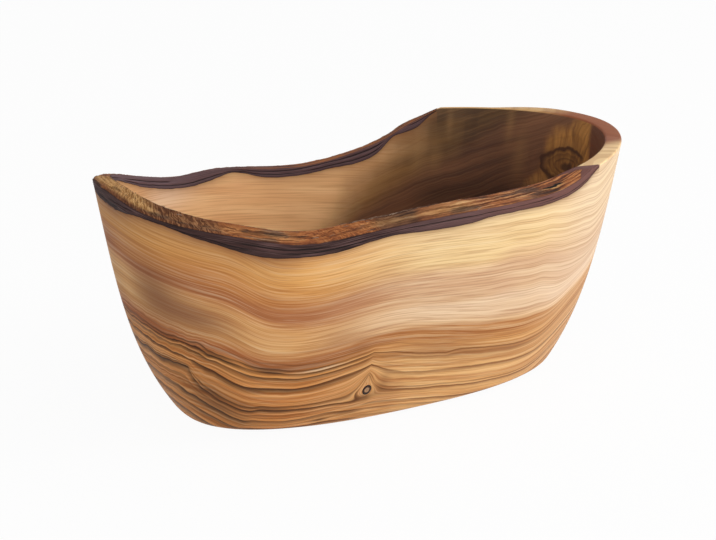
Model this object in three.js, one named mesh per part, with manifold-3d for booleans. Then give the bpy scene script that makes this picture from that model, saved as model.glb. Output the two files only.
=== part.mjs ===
import * as THREE from 'three';
import { mergeVertices } from 'three/addons/utils/BufferGeometryUtils.js';
import Module from 'manifold-3d';

// A live-edge bowl carved from half a log, bark side up. Sizes in mm. X runs along the log,
// from the bark tip (-X) to the sawn end (+X), the near side is -Y, and the foot stands on Z = 0.

// Carved form
const RIM_LENGTH = 250;
const RIM_WIDTH = 158;
const SAWN_RIM_HEIGHT = 106;
const BASE_LENGTH = 181;
const BASE_WIDTH = 83;
const BASE_SHIFT = -2;
const FOOT_ROUND = 4;
const WALL = 7.8;
const FLOOR = 12;
const FLOOR_ROUND = 24;
const EDGE_EASE = 0.8;

// How much of each wall's spread comes low down, as a belly, and how square the outlines are
const TIP_BELLY = 0.5;
const SAWN_BELLY = 0.29;
const SIDE_BELLY = 0.3;
const BELLY_POWER = 4;
const BASE_SQUARENESS = 2.43;
const TIP_SQUARENESS = 2.47;
const SAWN_SQUARENESS = 1.9;

// The saw cut that levels the +X end, where it runs out of the log,
// and how far and from where its outer edge rolls down towards the far bark
const SAW_START = 45;
const SAW_RUNOUT = 0.2;
const SAWN_ROLL = 3.2;
const SAWN_ROLL_START = THREE.MathUtils.degToRad(20);

// The log's outside: its crest line, and its two flanks at FLANK_REACH from the centre line, with the
// dips that the tree grew. A station is a share of half the rim's length, its height one of the sawn rim's.
const FLANK_REACH = 66;
const CREST = alongLog([[-1, 1.043], [1, 1.15]], SAWN_RIM_HEIGHT);
const NEAR_FLANK = alongLog([
  [-1, 0.901], [-0.76, 0.934], [-0.56, 0.936], [-0.32, 0.992], [0, 1.025], [0.24, 1.009],
  [0.53, 0.965], [0.72, 0.991],
], SAWN_RIM_HEIGHT);
const FAR_FLANK = alongLog([
  [-1, 0.896], [-0.76, 0.836], [-0.576, 0.814], [-0.368, 0.84], [0, 0.806], [0.208, 0.832],
  [0.33, 0.862], [0.416, 0.903], [0.53, 0.947], [0.6, 0.968], [0.76, 1],
], SAWN_RIM_HEIGHT);

// How deep the bark lies below the rim's top, its swelling along each flank as shares of that depth,
// and where the bark stops beside the sawn end
const BARK_DEPTH = 5;
const NEAR_BARK = alongLog([
  [-1, 1.32], [-0.965, 0.58], [-0.9, 0.56], [-0.8, 1.2], [-0.7, 1.66], [-0.63, 1.66], [-0.54, 1.34],
  [-0.42, 1.31], [-0.34, 1.06], [-0.23, 0.88], [-0.15, 1.1], [-0.05, 1.32], [0.04, 1.26], [0.14, 0.94],
  [0.32, 0.98], [0.64, 1.04],
], BARK_DEPTH);
const FAR_BARK = alongLog([
  [-1, 1.32], [-0.84, 0.9], [-0.576, 1.12], [-0.4, 1], [-0.304, 0.52], [-0.16, 1.04], [0.096, 1.08],
  [0.288, 1.44], [0.368, 0.6], [0.424, 0.96], [0.6, 0.92],
], BARK_DEPTH);
const NEAR_BARK_END = THREE.MathUtils.degToRad(46.7);
const FAR_BARK_END = THREE.MathUtils.degToRad(54);
const BARK_END_SLANT = THREE.MathUtils.degToRad(3.8);
const BARK_END_TAPER = THREE.MathUtils.degToRad(6);
const BARK_END_SHARE = 0.3;

// The rough crust of outer bark lies in a shallow trough between two trimmed edges of inner bark,
// and narrows to a blunt point before each end of the bark
const CRUST = 0.9;
const TRIMMED_EDGE = 1;
const CRUST_END = THREE.MathUtils.degToRad(4);
const CRUST_TAPER = THREE.MathUtils.degToRad(4.5);
const CRUST_POINT_SHARE = 0.25;

// A dead twig stub grown into the near wall
const KNOT_X = -30;
const KNOT_HEIGHT = 19.6;
const KNOT_WIDTH = 4.4;
const KNOT_TALL = 6.4;
const KNOT_DEPTH = 6;
const KNOT_TAPER = 0.75;

// Clearance between pieces that lie on one another, and how far a cut runs past the surface it opens
const GAP = 0.3;
const OVERCUT = 2;

// Mesh fineness
const BARK_COLUMNS = 92;
const SAWN_COLUMNS = 30;
const OUTER_RINGS = 8;
const INNER_RINGS = 6;
const ROUND_STEPS = 5;
const FOOT_STEPS = 2;
const KNOT_SIDES = 20;
const RIM_PASSES = 5;

// A smooth curve along X through stations of the log, with values in shares of a size
function alongLog(stations, size) {
  const places = stations.map(([share]) => (share * RIM_LENGTH) / 2);
  const values = stations.map(([, share]) => share * size);
  const curve = new THREE.CubicInterpolant(places, values, 1);
  return (x) => curve.evaluate(x)[0];
}

const signedPower = (value, power) => Math.sign(value) * Math.abs(value) ** power;

// Share of a wall's spread reached at a share of the height
function spread(belly, t) {
  return (1 - belly) * t + belly * (1 - (1 - Math.min(t, 1)) ** BELLY_POWER);
}

// A point of the carved wall at an angle and height, set in from the outside
function wallPoint(angle, z, inset) {
  const t = z / SAWN_RIM_HEIGHT;
  const tip = Math.cos(angle) < 0;
  const baseReach = BASE_LENGTH / 2 + (tip ? -BASE_SHIFT : BASE_SHIFT);
  const reach = baseReach + (RIM_LENGTH / 2 - baseReach) * spread(tip ? TIP_BELLY : SAWN_BELLY, t);
  const halfWidth = (BASE_WIDTH + (RIM_WIDTH - BASE_WIDTH) * spread(SIDE_BELLY, t)) / 2;
  const rimSquareness = tip ? TIP_SQUARENESS : SAWN_SQUARENESS;
  const squareness = THREE.MathUtils.lerp(BASE_SQUARENESS, rimSquareness, Math.min(t, 1));
  return new THREE.Vector3(
    (reach - inset) * signedPower(Math.cos(angle), 2 / squareness),
    (halfWidth - inset) * signedPower(Math.sin(angle), 2 / squareness),
    z,
  );
}

// Height of the rim's top: the arched outside of the log, levelled by the saw cut
function rimTop(x, y) {
  const near = NEAR_FLANK(x);
  const far = FAR_FLANK(x);
  const across = y / FLANK_REACH;
  const arch = (CREST(x) - (near + far) / 2) * across * across;
  const log = CREST(x) + ((far - near) / 2) * across - arch;
  const saw = SAWN_RIM_HEIGHT + SAW_RUNOUT * Math.max(0, SAW_START - x);
  return Math.min(log, saw);
}

// The ring of columns: one arc that carries bark, one arc of bare sawn rim.
// Near the sawn end a column leans as it crosses the near rim, so that the near bark ends on a slant.
const barkArc = 2 * Math.PI - NEAR_BARK_END - FAR_BARK_END;
const shoulder = GAP / (RIM_WIDTH / 2);
const sawnArc = NEAR_BARK_END + FAR_BARK_END - 2 * shoulder;
const columns = [];
for (let i = 0; i <= BARK_COLUMNS; i++) {
  columns.push({ angle: FAR_BARK_END + (barkArc * i) / BARK_COLUMNS, bark: true });
}
for (let i = 0; i <= SAWN_COLUMNS; i++) {
  columns.push({ angle: -NEAR_BARK_END + shoulder + (sawnArc * i) / SAWN_COLUMNS, bark: false });
}

// The angle of a column, with its lean from 0 outside to 1 inside
function columnAngle(column, lean) {
  const turn = Math.atan2(Math.sin(column.angle), Math.cos(column.angle));
  const nearSaw = turn < 0 && turn > -Math.PI / 2;
  return turn + (nearSaw ? BARK_END_SLANT * Math.sin(2 * turn) * lean : 0);
}

// A point of the rim at a column, across the wall from 0 outside to 1 inside, below the top by drop
function rimPoint(column, across, drop) {
  const angle = columnAngle(column, across);
  let z = SAWN_RIM_HEIGHT;
  for (let i = 0; i < RIM_PASSES; i++) {
    const { x, y } = wallPoint(angle, z, WALL * across);
    z = rimTop(x, y) - drop;
  }
  return wallPoint(angle, z, WALL * across);
}

// Depth of the bark below the rim's top at a column, thinning towards its two ends
function barkDepth(column, across) {
  const { x, y } = rimPoint(column, across, 0);
  const farShare = THREE.MathUtils.clamp((y / FLANK_REACH + 1) / 2, 0, 1);
  const depth = THREE.MathUtils.lerp(NEAR_BARK(x), FAR_BARK(x), farShare);
  const fromFarEnd = column.angle - FAR_BARK_END;
  const fromNearEnd = FAR_BARK_END + barkArc - column.angle;
  const taper = THREE.MathUtils.smoothstep(Math.min(fromFarEnd, fromNearEnd), 0, BARK_END_TAPER);
  return depth * THREE.MathUtils.lerp(BARK_END_SHARE, 1, taper);
}

// Places across the rim, with the two edges eased by a small bevel
const ease = EDGE_EASE / WALL;
const acrossRim = [0, ease, 0.5, 1 - ease, 1];

// Closed skin over rings of equal count, each end closed by a fan to a centre point
function loft(rings, startCentre, endCentre) {
  const count = rings[0].length;
  const points = [...rings.flat(), startCentre, endCentre];
  const start = points.length - 2;
  const end = points.length - 1;
  const index = [];
  for (let i = 0; i < count; i++) {
    const next = (i + 1) % count;
    index.push(start, next, i);
    for (let ring = 0; ring + 1 < rings.length; ring++) {
      const low = ring * count;
      const high = low + count;
      index.push(low + i, low + next, high + next, low + i, high + next, high + i);
    }
    const last = (rings.length - 1) * count;
    index.push(end, last + i, last + next);
  }
  return new THREE.BufferGeometry().setFromPoints(points).setIndex(index);
}

// Closed strip through sections of equal count, its two ends closed by the sections themselves
function strip(sections, sectionOutline) {
  const count = sections[0].length;
  const index = [];
  for (let s = 0; s + 1 < sections.length; s++) {
    for (let i = 0; i < count; i++) {
      const next = (i + 1) % count;
      const a = s * count + i;
      const b = s * count + next;
      index.push(a, b, b + count, a, b + count, a + count);
    }
  }
  const last = (sections.length - 1) * count;
  for (const [a, b, c] of THREE.ShapeUtils.triangulateShape(sectionOutline, [])) {
    index.push(a, c, b, last + a, last + b, last + c);
  }
  return new THREE.BufferGeometry().setFromPoints(sections.flat()).setIndex(index);
}

const wasm = await Module();
wasm.setup();

function toSolid(geometry) {
  const bare = geometry.clone();
  bare.deleteAttribute('normal');
  bare.deleteAttribute('uv');
  const merged = mergeVertices(bare);
  const vertProperties = merged.getAttribute('position').array;
  const triVerts = new Uint32Array(merged.index.array);
  return new wasm.Manifold(new wasm.Mesh({ numProp: 3, vertProperties, triVerts }));
}

function toGeometry(solid) {
  const mesh = solid.getMesh();
  const geometry = new THREE.BufferGeometry();
  geometry.setAttribute('position', new THREE.BufferAttribute(mesh.vertProperties, 3));
  geometry.setIndex(new THREE.BufferAttribute(mesh.triVerts, 1));
  return geometry;
}

// The wood's own rim: under the bark, or bare with eased edges at the sawn end
function woodRim(column, across) {
  if (column.bark) return rimPoint(column, across, barkDepth(column, across));
  const edge = across === 0 || across === 1;
  const roll = SAWN_ROLL * THREE.MathUtils.smoothstep(column.angle, SAWN_ROLL_START, FAR_BARK_END);
  return rimPoint(column, across, Number(edge) * EDGE_EASE + roll * (1 - across));
}

// The carved wood, skinned from the foot up the outside, over the rim and down to the floor
function carvedWood() {
  const rings = [];
  for (let i = 0; i <= FOOT_STEPS; i++) {
    const turn = (Math.PI / 2) * (i / FOOT_STEPS);
    const z = FOOT_ROUND * (1 - Math.cos(turn));
    const inset = FOOT_ROUND * (1 - Math.sin(turn));
    rings.push(columns.map(({ angle }) => wallPoint(angle, z, inset)));
  }
  const top = acrossRim.map((across) => columns.map((column) => woodRim(column, across)));
  for (let i = 1; i < OUTER_RINGS; i++) {
    rings.push(columns.map(({ angle }, c) => {
      return wallPoint(angle, THREE.MathUtils.lerp(FOOT_ROUND, top[0][c].z, i / OUTER_RINGS), 0);
    }));
  }
  rings.push(...top);
  const floorTop = FLOOR + FLOOR_ROUND;
  for (let i = 1; i < INNER_RINGS; i++) {
    rings.push(columns.map((column, c) => {
      const z = THREE.MathUtils.lerp(top.at(-1)[c].z, floorTop, i / INNER_RINGS);
      return wallPoint(columnAngle(column, 1 - i / INNER_RINGS), z, WALL);
    }));
  }
  for (let i = 0; i <= ROUND_STEPS; i++) {
    const turn = (Math.PI / 2) * (i / ROUND_STEPS);
    const z = FLOOR + FLOOR_ROUND * (1 - Math.sin(turn));
    const inset = WALL + FLOOR_ROUND * (1 - Math.cos(turn));
    rings.push(columns.map(({ angle }) => wallPoint(angle, z, inset)));
  }
  const baseCentre = new THREE.Vector3(BASE_SHIFT, 0, 0);
  return loft(rings, baseCentre, baseCentre.clone().setZ(FLOOR));
}

// The dark inner bark that lies on the wood's rim, clear of the shoulders at its two ends
function innerBark() {
  const [first, ...rest] = columns.filter(({ bark }) => bark);
  const last = rest.pop();
  const clearFirst = { angle: first.angle + shoulder };
  const clearLast = { angle: last.angle - shoulder };
  const sections = [clearFirst, ...rest, clearLast].map((column) => {
    const under = acrossRim.map((across) => {
      return rimPoint(column, across, barkDepth(column, across) - GAP);
    });
    const over = acrossRim.map((across) => {
      const edge = across === 0 || across === 1;
      return rimPoint(column, across, Number(edge) * EDGE_EASE);
    });
    return [...under, ...over.reverse()];
  });
  const flatUnder = acrossRim.map((across) => new THREE.Vector2(across, 0));
  const flatOver = acrossRim.map((across) => new THREE.Vector2(across, 1));
  return strip(sections, [...flatUnder, ...flatOver.reverse()]);
}

// The crust's body, or with a clearance the trough that it lies in, open above the rim
function crust(clearance, above) {
  const start = FAR_BARK_END + CRUST_END - clearance / (RIM_WIDTH / 2);
  const end = FAR_BARK_END + barkArc - CRUST_END + clearance / (RIM_WIDTH / 2);
  const between = columns.filter(({ angle, bark }) => bark && angle > start && angle < end);
  const sections = [{ angle: start }, ...between, { angle: end }].map((column) => {
    const fromEnd = Math.min(column.angle - start, end - column.angle);
    const taper = THREE.MathUtils.smoothstep(fromEnd, 0, CRUST_TAPER);
    const full = WALL / 2 - TRIMMED_EDGE;
    const half = (full * THREE.MathUtils.lerp(CRUST_POINT_SHARE, 1, taper) + clearance) / WALL;
    const across = [0.5 - half, 0.5, 0.5 + half];
    const under = across.map((place) => rimPoint(column, place, CRUST + clearance));
    const over = across.map((place) => rimPoint(column, place, -above));
    return [...under, ...over.reverse()];
  });
  const outline = [[0, 0], [0.5, 0], [1, 0], [1, 1], [0.5, 1], [0, 1]];
  return strip(sections, outline.map(([across, up]) => new THREE.Vector2(across, up)));
}

// The knot's oval tapered plug, or with a clearance its pocket, square to the near wall
function knotPlug(clearance) {
  let low = -Math.PI;
  let high = 0;
  for (let i = 0; i < 40; i++) {
    const middle = (low + high) / 2;
    if (wallPoint(middle, KNOT_HEIGHT, 0).x < KNOT_X) low = middle;
    else high = middle;
  }
  const place = wallPoint(low, KNOT_HEIGHT, 0);
  const step = 1e-3;
  const along = wallPoint(low + step, KNOT_HEIGHT, 0).sub(place);
  const up = wallPoint(low, KNOT_HEIGHT + step, 0).sub(place);
  const outward = along.clone().cross(up).normalize();
  const sideways = along.normalize();
  const radius = KNOT_WIDTH / 2 + clearance;
  const length = KNOT_DEPTH + clearance + OVERCUT;
  const plug = new THREE.CylinderGeometry(
    radius, KNOT_WIDTH / 2 * KNOT_TAPER + clearance, length, KNOT_SIDES,
  );
  plug.translate(0, OVERCUT - length / 2, 0);
  plug.scale(1, 1, (KNOT_TALL / 2 + clearance) / radius);
  const frame = new THREE.Matrix4().makeBasis(sideways, outward, sideways.clone().cross(outward));
  plug.applyMatrix4(frame.setPosition(place));
  return toSolid(plug);
}

const blank = toSolid(carvedWood());
const bowl = blank.subtract(knotPlug(GAP));
const knot = blank.intersect(knotPlug(0));
const barkBand = toSolid(innerBark()).subtract(toSolid(crust(GAP, OVERCUT)));

function piece(name, geometry, color, roughness) {
  geometry.computeVertexNormals();
  const material = new THREE.MeshStandardMaterial({ color, roughness, metalness: 0 });
  const mesh = new THREE.Mesh(geometry, material);
  mesh.name = name;
  return mesh;
}

const group = new THREE.Group();
group.add(
  piece('bowl_body', toGeometry(bowl), 0xc8945c, 0.45),
  piece('inner_bark', toGeometry(barkBand), 0x4a3532, 0.75),
  piece('outer_bark', crust(0, 0), 0x8c5a3a, 0.85),
  piece('pin_knot', toGeometry(knot), 0x75604a, 0.6),
);

export default group;
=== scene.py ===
import math

import bmesh
import bpy
import numpy as np
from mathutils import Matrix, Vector, noise


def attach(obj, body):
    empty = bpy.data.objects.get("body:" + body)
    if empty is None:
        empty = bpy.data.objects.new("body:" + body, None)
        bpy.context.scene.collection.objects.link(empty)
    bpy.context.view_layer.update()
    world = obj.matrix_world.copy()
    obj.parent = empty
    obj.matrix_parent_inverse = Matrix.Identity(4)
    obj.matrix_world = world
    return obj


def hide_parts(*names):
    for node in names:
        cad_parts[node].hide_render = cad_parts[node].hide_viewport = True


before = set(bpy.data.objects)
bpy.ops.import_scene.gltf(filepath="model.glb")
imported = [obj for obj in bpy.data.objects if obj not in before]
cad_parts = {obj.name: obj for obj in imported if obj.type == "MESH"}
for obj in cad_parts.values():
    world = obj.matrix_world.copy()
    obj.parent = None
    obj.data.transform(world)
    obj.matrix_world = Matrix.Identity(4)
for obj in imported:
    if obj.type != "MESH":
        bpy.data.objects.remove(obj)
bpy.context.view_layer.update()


# Carved wood
# The bowl is hollowed out of half a log of olive wood, bark side up, so its rings arch over the hollow.
# Its walls lean out from a flat foot, its rim is the log's own outside, and a saw cut levels the +X end.
# It is sanded, oiled to a satin, and darkest where the striped heartwood shows low on the walls.
MM = 0.001
RIM_LENGTH = 250 * MM
RIM_WIDTH = 158 * MM
SAWN_RIM_HEIGHT = 106 * MM
BASE_LENGTH = 181 * MM
BASE_WIDTH = 83 * MM
BASE_SHIFT = -2 * MM
FOOT_ROUND = 4 * MM
WALL = 7.8 * MM
FLOOR = 12 * MM
FLOOR_ROUND = 24 * MM
EDGE_EASE = 0.8 * MM
TIP_BELLY = 0.5
SAWN_BELLY = 0.29
SIDE_BELLY = 0.3
BELLY_POWER = 4
BASE_SQUARENESS = 2.43
TIP_SQUARENESS = 2.47
SAWN_SQUARENESS = 1.9
SAW_START = 45 * MM
SAW_RUNOUT = 0.2
SAWN_ROLL = 3.2 * MM
SAWN_ROLL_START = math.radians(20)
FLANK_REACH = 66 * MM
NEAR_BARK_END = math.radians(46.7)
FAR_BARK_END = math.radians(54)
BARK_END_SLANT = math.radians(3.8)
BARK_END_TAPER = math.radians(6)
BARK_END_SHARE = 0.3
BARK_ARC = 2 * math.pi - NEAR_BARK_END - FAR_BARK_END
RIM_PASSES = 5


def along_log(stations, size):
    """A smooth curve along X through stations, in shares of half the rim's length and of a size."""
    x, value = np.array(stations).T * [[RIM_LENGTH / 2], [size]]
    chord = np.diff(value) / np.diff(x)
    slope = np.concatenate([chord[:1], (chord[1:] + chord[:-1]) / 2, chord[-1:]])

    def curve(at):
        at = np.clip(at, x[0], x[-1])
        i = np.clip(np.searchsorted(x, at, side="right") - 1, 0, len(x) - 2)
        width = x[i + 1] - x[i]
        t = (at - x[i]) / width
        start = (1 + 2 * t) * value[i] + t * width * slope[i]
        end = (3 - 2 * t) * value[i + 1] - (1 - t) * width * slope[i + 1]
        return (1 - t) ** 2 * start + t ** 2 * end

    return curve


# The log's outside along X: its top, its two sides, and the bark's depth on each side
CREST = along_log([(-1, 1.043), (1, 1.15)], SAWN_RIM_HEIGHT)
NEAR_FLANK = along_log([
    (-1, 0.901), (-0.76, 0.934), (-0.56, 0.936), (-0.32, 0.992), (0, 1.025), (0.24, 1.009), (0.53, 0.965),
    (0.72, 0.991),
], SAWN_RIM_HEIGHT)
FAR_FLANK = along_log([
    (-1, 0.896), (-0.76, 0.836), (-0.576, 0.814), (-0.368, 0.84), (0, 0.806), (0.208, 0.827), (0.33, 0.858),
    (0.416, 0.903), (0.53, 0.947), (0.6, 0.968), (0.76, 1),
], SAWN_RIM_HEIGHT)
BARK_DEPTH = 5 * MM
BARK_RIPPLE = 0.08 * MM
NEAR_BARK = along_log([
    (-1.0056, 1.6), (-1.0043, 1.25), (-1.0005, 1), (-0.9944, 0.78), (-0.986, 0.57), (-0.975, 0.53),
    (-0.96, 0.56), (-0.945, 0.52), (-0.93, 0.49), (-0.91, 0.61), (-0.885, 0.79), (-0.835, 1), (-0.8, 1.18),
    (-0.7, 1.62), (-0.63, 1.52), (-0.54, 1.3), (-0.42, 1.31), (-0.34, 1.06), (-0.23, 0.88), (-0.15, 1.1),
    (-0.05, 1.32), (0.04, 1.26), (0.14, 0.94), (0.32, 0.98), (0.64, 1.04),
], BARK_DEPTH)
FAR_BARK = along_log([
    (-1, 1.6), (-0.99, 1.45), (-0.97, 0.95), (-0.92, 0.62), (-0.86, 0.5), (-0.8, 0.66), (-0.72, 0.98),
    (-0.6, 1.18), (-0.48, 1.3), (-0.4, 1.16), (-0.304, 0.6), (-0.16, 1.22), (0.096, 1.22), (0.288, 1.48),
    (0.368, 0.6), (0.424, 0.96), (0.6, 0.92),
], BARK_DEPTH)


def smoothstep(value, start, end):
    t = np.clip((value - start) / (end - start), 0, 1)
    return t * t * (3 - 2 * t)


def spread(belly, t):
    """Share of a wall's spread reached at a share of the height."""
    return (1 - belly) * t + belly * (1 - (1 - np.minimum(t, 1)) ** BELLY_POWER)


def wall_points(angle, z, inset):
    """Points of the carved wall at angles and heights, set in from the outside."""
    angle, z, inset = np.broadcast_arrays(angle, z, inset)
    t = z / SAWN_RIM_HEIGHT
    tip = np.cos(angle) < 0
    base_reach = BASE_LENGTH / 2 + np.where(tip, -BASE_SHIFT, BASE_SHIFT)
    reach = base_reach + (RIM_LENGTH / 2 - base_reach) * spread(np.where(tip, TIP_BELLY, SAWN_BELLY), t)
    half_width = (BASE_WIDTH + (RIM_WIDTH - BASE_WIDTH) * spread(SIDE_BELLY, t)) / 2
    rim_squareness = np.where(tip, TIP_SQUARENESS, SAWN_SQUARENESS)
    squareness = BASE_SQUARENESS + (rim_squareness - BASE_SQUARENESS) * np.minimum(t, 1)

    def rounded(side):
        return np.sign(side) * np.abs(side) ** (2 / squareness)

    x = (reach - inset) * rounded(np.cos(angle))
    y = (half_width - inset) * rounded(np.sin(angle))
    return np.stack([x, y, z], axis=-1)


def rim_top(x, y):
    """Height of the log's arched outside, levelled by the saw cut."""
    near = NEAR_FLANK(x)
    far = FAR_FLANK(x)
    across = y / FLANK_REACH
    arch = (CREST(x) - (near + far) / 2) * across ** 2
    log = CREST(x) + (far - near) / 2 * across - arch
    return np.minimum(log, SAWN_RIM_HEIGHT + SAW_RUNOUT * np.maximum(0, SAW_START - x))


def leaning(angle, across):
    """Angles that lean across the near rim beside the saw cut, where the bark ends on a slant."""
    turn = np.arctan2(np.sin(angle), np.cos(angle))
    near_saw = (turn < 0) & (turn > -np.pi / 2)
    return turn + np.where(near_saw, BARK_END_SLANT * np.sin(2 * turn), 0) * across


def rim_points(angle, across, drop, proud=0.0):
    """Points of the rim, across the wall from 0 outside to 1 inside, below its top by drop."""
    angle, across, drop, proud = np.broadcast_arrays(angle, across, drop, proud)
    turn = leaning(angle, across)
    z = np.full(angle.shape, SAWN_RIM_HEIGHT)
    for _ in range(RIM_PASSES):
        place = wall_points(turn, z, WALL * across - proud)
        z = rim_top(place[..., 0], place[..., 1]) - drop
    return wall_points(turn, z, WALL * across - proud)


def bark_depth(angle, across):
    """Depth of the bark below the rim's top, thin at its two ends and rippled where it meets the wood."""
    place = rim_points(angle, across, 0)
    far_share = np.clip((place[..., 1] / FLANK_REACH + 1) / 2, 0, 1)
    near = NEAR_BARK(place[..., 0])
    depth = near + (FAR_BARK(place[..., 0]) - near) * far_share
    from_end = np.minimum(angle - FAR_BARK_END, FAR_BARK_END + BARK_ARC - angle)
    taper = smoothstep(from_end, 0, BARK_END_TAPER)
    ripple = np.sin(37 * angle + 1.3) + 0.7 * np.sin(83 * angle + 3 * across) + 0.5 * np.sin(131 * angle)
    return depth * (BARK_END_SHARE + (1 - BARK_END_SHARE) * taper) + BARK_RIPPLE * ripple * taper


BARK_COLUMNS = 420
SAWN_COLUMNS = 120
FOOT_STEPS = 6
OUTER_RINGS = 56
EASE_STEPS = 4
RIM_STEPS = 6
INNER_RINGS = 36
FLOOR_STEPS = 14
SHOULDER = 0.2 * MM / (RIM_WIDTH / 2)
BARK_SHADE_REACH = 1.6 * MM
FAR_OFF = 1.0

bark_angles = FAR_BARK_END + BARK_ARC * np.linspace(0, 1, BARK_COLUMNS + 1)
sawn_angles = np.linspace(-NEAR_BARK_END + SHOULDER, FAR_BARK_END - SHOULDER, SAWN_COLUMNS + 1)
angles = np.concatenate([bark_angles, sawn_angles])
barked = np.arange(len(angles)) <= BARK_COLUMNS


def eased_edge():
    """Places across the rim and their drops, with both edges rounded over."""
    turn = np.linspace(0, np.pi / 2, EASE_STEPS + 1)
    outer = EDGE_EASE / WALL * (1 - np.cos(turn))
    drop = EDGE_EASE * (1 - np.sin(turn))
    flat = np.linspace(outer[-1], 1 - outer[-1], RIM_STEPS + 1)[1:-1]
    across = np.concatenate([outer, flat, 1 - outer[::-1]])
    return across, np.concatenate([drop, 0 * flat, drop[::-1]])


def wood_rim(across, edge_drop):
    """One ring of the wood's rim: under the bark, or bare with an eased edge at the sawn end."""
    roll = SAWN_ROLL * smoothstep(angles, SAWN_ROLL_START, FAR_BARK_END) * (1 - across)
    drop = np.where(barked, bark_depth(angles, across), edge_drop + roll)
    return rim_points(angles, across, drop)


rings = [wall_points(angles, 0.0, 3 * FOOT_ROUND)]
for turn in np.linspace(0, np.pi / 2, FOOT_STEPS + 1):
    rings.append(wall_points(angles, FOOT_ROUND * (1 - math.cos(turn)), FOOT_ROUND * (1 - math.sin(turn))))
rim_rings = [wood_rim(across, drop) for across, drop in zip(*eased_edge())]
for share in np.linspace(0, 1, OUTER_RINGS + 1)[1:-1]:
    rings.append(wall_points(angles, FOOT_ROUND + (rim_rings[0][:, 2] - FOOT_ROUND) * share, 0.0))
outer_count = len(rings)
rings += rim_rings
for share in np.linspace(0, 1, INNER_RINGS + 1)[1:-1]:
    z = rim_rings[-1][:, 2] + (FLOOR + FLOOR_ROUND - rim_rings[-1][:, 2]) * share
    rings.append(wall_points(leaning(angles, 1 - share), z, WALL))
for turn in np.linspace(0, np.pi / 2, FLOOR_STEPS + 1):
    rings.append(wall_points(
        angles, FLOOR + FLOOR_ROUND * (1 - math.sin(turn)), WALL + FLOOR_ROUND * (1 - math.cos(turn))))
floor_centre = np.array([BASE_SHIFT, 0, FLOOR])
for share in (0.75, 0.5, 0.25):
    rings.append(floor_centre + (rings[-1] - floor_centre) * share)
rings = np.array(rings)

ring_number = np.arange(len(rings))
inside = smoothstep(ring_number, outer_count, outer_count + len(rim_rings) - 1)
inside = np.repeat(inside, len(angles))
on_rim = (ring_number > outer_count) & (ring_number < outer_count + len(rim_rings) - 1)
sawn_rim = (on_rim[:, None] & ~barked).astype(float).ravel()
edge_height = np.where(inside.reshape(len(rings), -1) < 0.5, rim_rings[0][:, 2], rim_rings[-1][:, 2])
# Painted shade under the bark's edge: the wood darkens just below the bark, over its own dark line there
below_bark = np.where(barked, edge_height - rings[..., 2], FAR_OFF)
bark_edge_shade = np.exp(-np.maximum(below_bark, 0) / BARK_SHADE_REACH).ravel()


def make_piece(name, points, faces, attributes, material, crease=50):
    """A closed mesh object at the origin, with its faces turned outwards and sharp edges kept."""
    mesh = bpy.data.meshes.new(name)
    mesh.from_pydata(points, [], faces)
    for label, values in attributes.items():
        vector = np.ndim(values) == 2
        layer = mesh.attributes.new(label, "FLOAT_VECTOR" if vector else "FLOAT", "POINT")
        layer.data.foreach_set("vector" if vector else "value", np.ravel(values).astype(np.float32))
    shell = bmesh.new()
    shell.from_mesh(mesh)
    bmesh.ops.recalc_face_normals(shell, faces=shell.faces[:])
    shell.to_mesh(mesh)
    shell.free()
    mesh.shade_smooth()
    mesh.set_sharp_from_angle(angle=math.radians(crease))
    mesh.materials.append(material)
    piece = bpy.data.objects.new(name, mesh)
    bpy.context.scene.collection.objects.link(piece)
    return piece


def connect(tree, made, inputs):
    """Sets a node's inputs, given as {socket: value or another node's socket}."""
    for key, value in dict(inputs).items():
        if isinstance(value, bpy.types.NodeSocket):
            tree.links.new(value, made.inputs[key])
        else:
            made.inputs[key].default_value = value


def node(tree, kind, inputs=(), family="ShaderNode", **settings):
    """A new node with its settings and its inputs."""
    made = tree.nodes.new(family + kind)
    for label, value in settings.items():
        setattr(made, label, value)
    connect(tree, made, inputs)
    return made


def new_material(name):
    material = bpy.data.materials.new(name)
    material.use_nodes = True
    return material, material.node_tree


def painted(tree, name, kind="Fac"):
    """Values that a mesh carries on its points."""
    return node(tree, "Attribute", attribute_name=name).outputs[kind]


def cloud(tree, place, scale, detail):
    """Soft noise, about 0 to 1."""
    return node(tree, "TexNoise", {"Vector": place, "Scale": scale, "Detail": detail}).outputs[0]


def calc(tree, operation, *values):
    return node(tree, "Math", dict(enumerate(values)), operation=operation).outputs[0]


def plus(tree, one, other):
    return calc(tree, "ADD", one, other)


def minus(tree, one, other):
    return calc(tree, "SUBTRACT", one, other)


def times(tree, one, other):
    return calc(tree, "MULTIPLY", one, other)


def hypotenuse(tree, one, other):
    """Distance, from its parts along two square axes."""
    return calc(tree, "SQRT", plus(tree, times(tree, one, one), times(tree, other, other)))


def fade(tree, value, start, end, low=0.0, high=1.0):
    """A smooth step from low to high as value goes from start to end."""
    ends = {0: value, 1: start, 2: end, 3: low, 4: high}
    return node(tree, "MapRange", ends, interpolation_type="SMOOTHSTEP").outputs[0]


def blend(tree, share, under, over, kind="MIX"):
    colours = {0: share, 6: under, 7: over}
    return node(tree, "Mix", colours, data_type="RGBA", blend_type=kind).outputs[2]


def tone(red, green, blue):
    """A colour as a screen shows it, 0 to 255, in the linear light that shaders use."""
    shown = np.array([red, green, blue]) / 255
    linear = np.where(shown <= 0.04045, shown / 12.92, ((shown + 0.055) / 1.055) ** 2.4)
    return (*map(float, linear), 1.0)


def ramp(tree, value, stops):
    """Colours along a value, as (place, colour) stops in rising order."""
    made = node(tree, "ValToRGB", {0: value})
    band = made.color_ramp.elements
    band.remove(band[1])
    band[0].position, band[0].color = stops[0]
    for place, colour in stops[1:]:
        band.new(place).color = colour
    return made.outputs[0]


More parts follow.
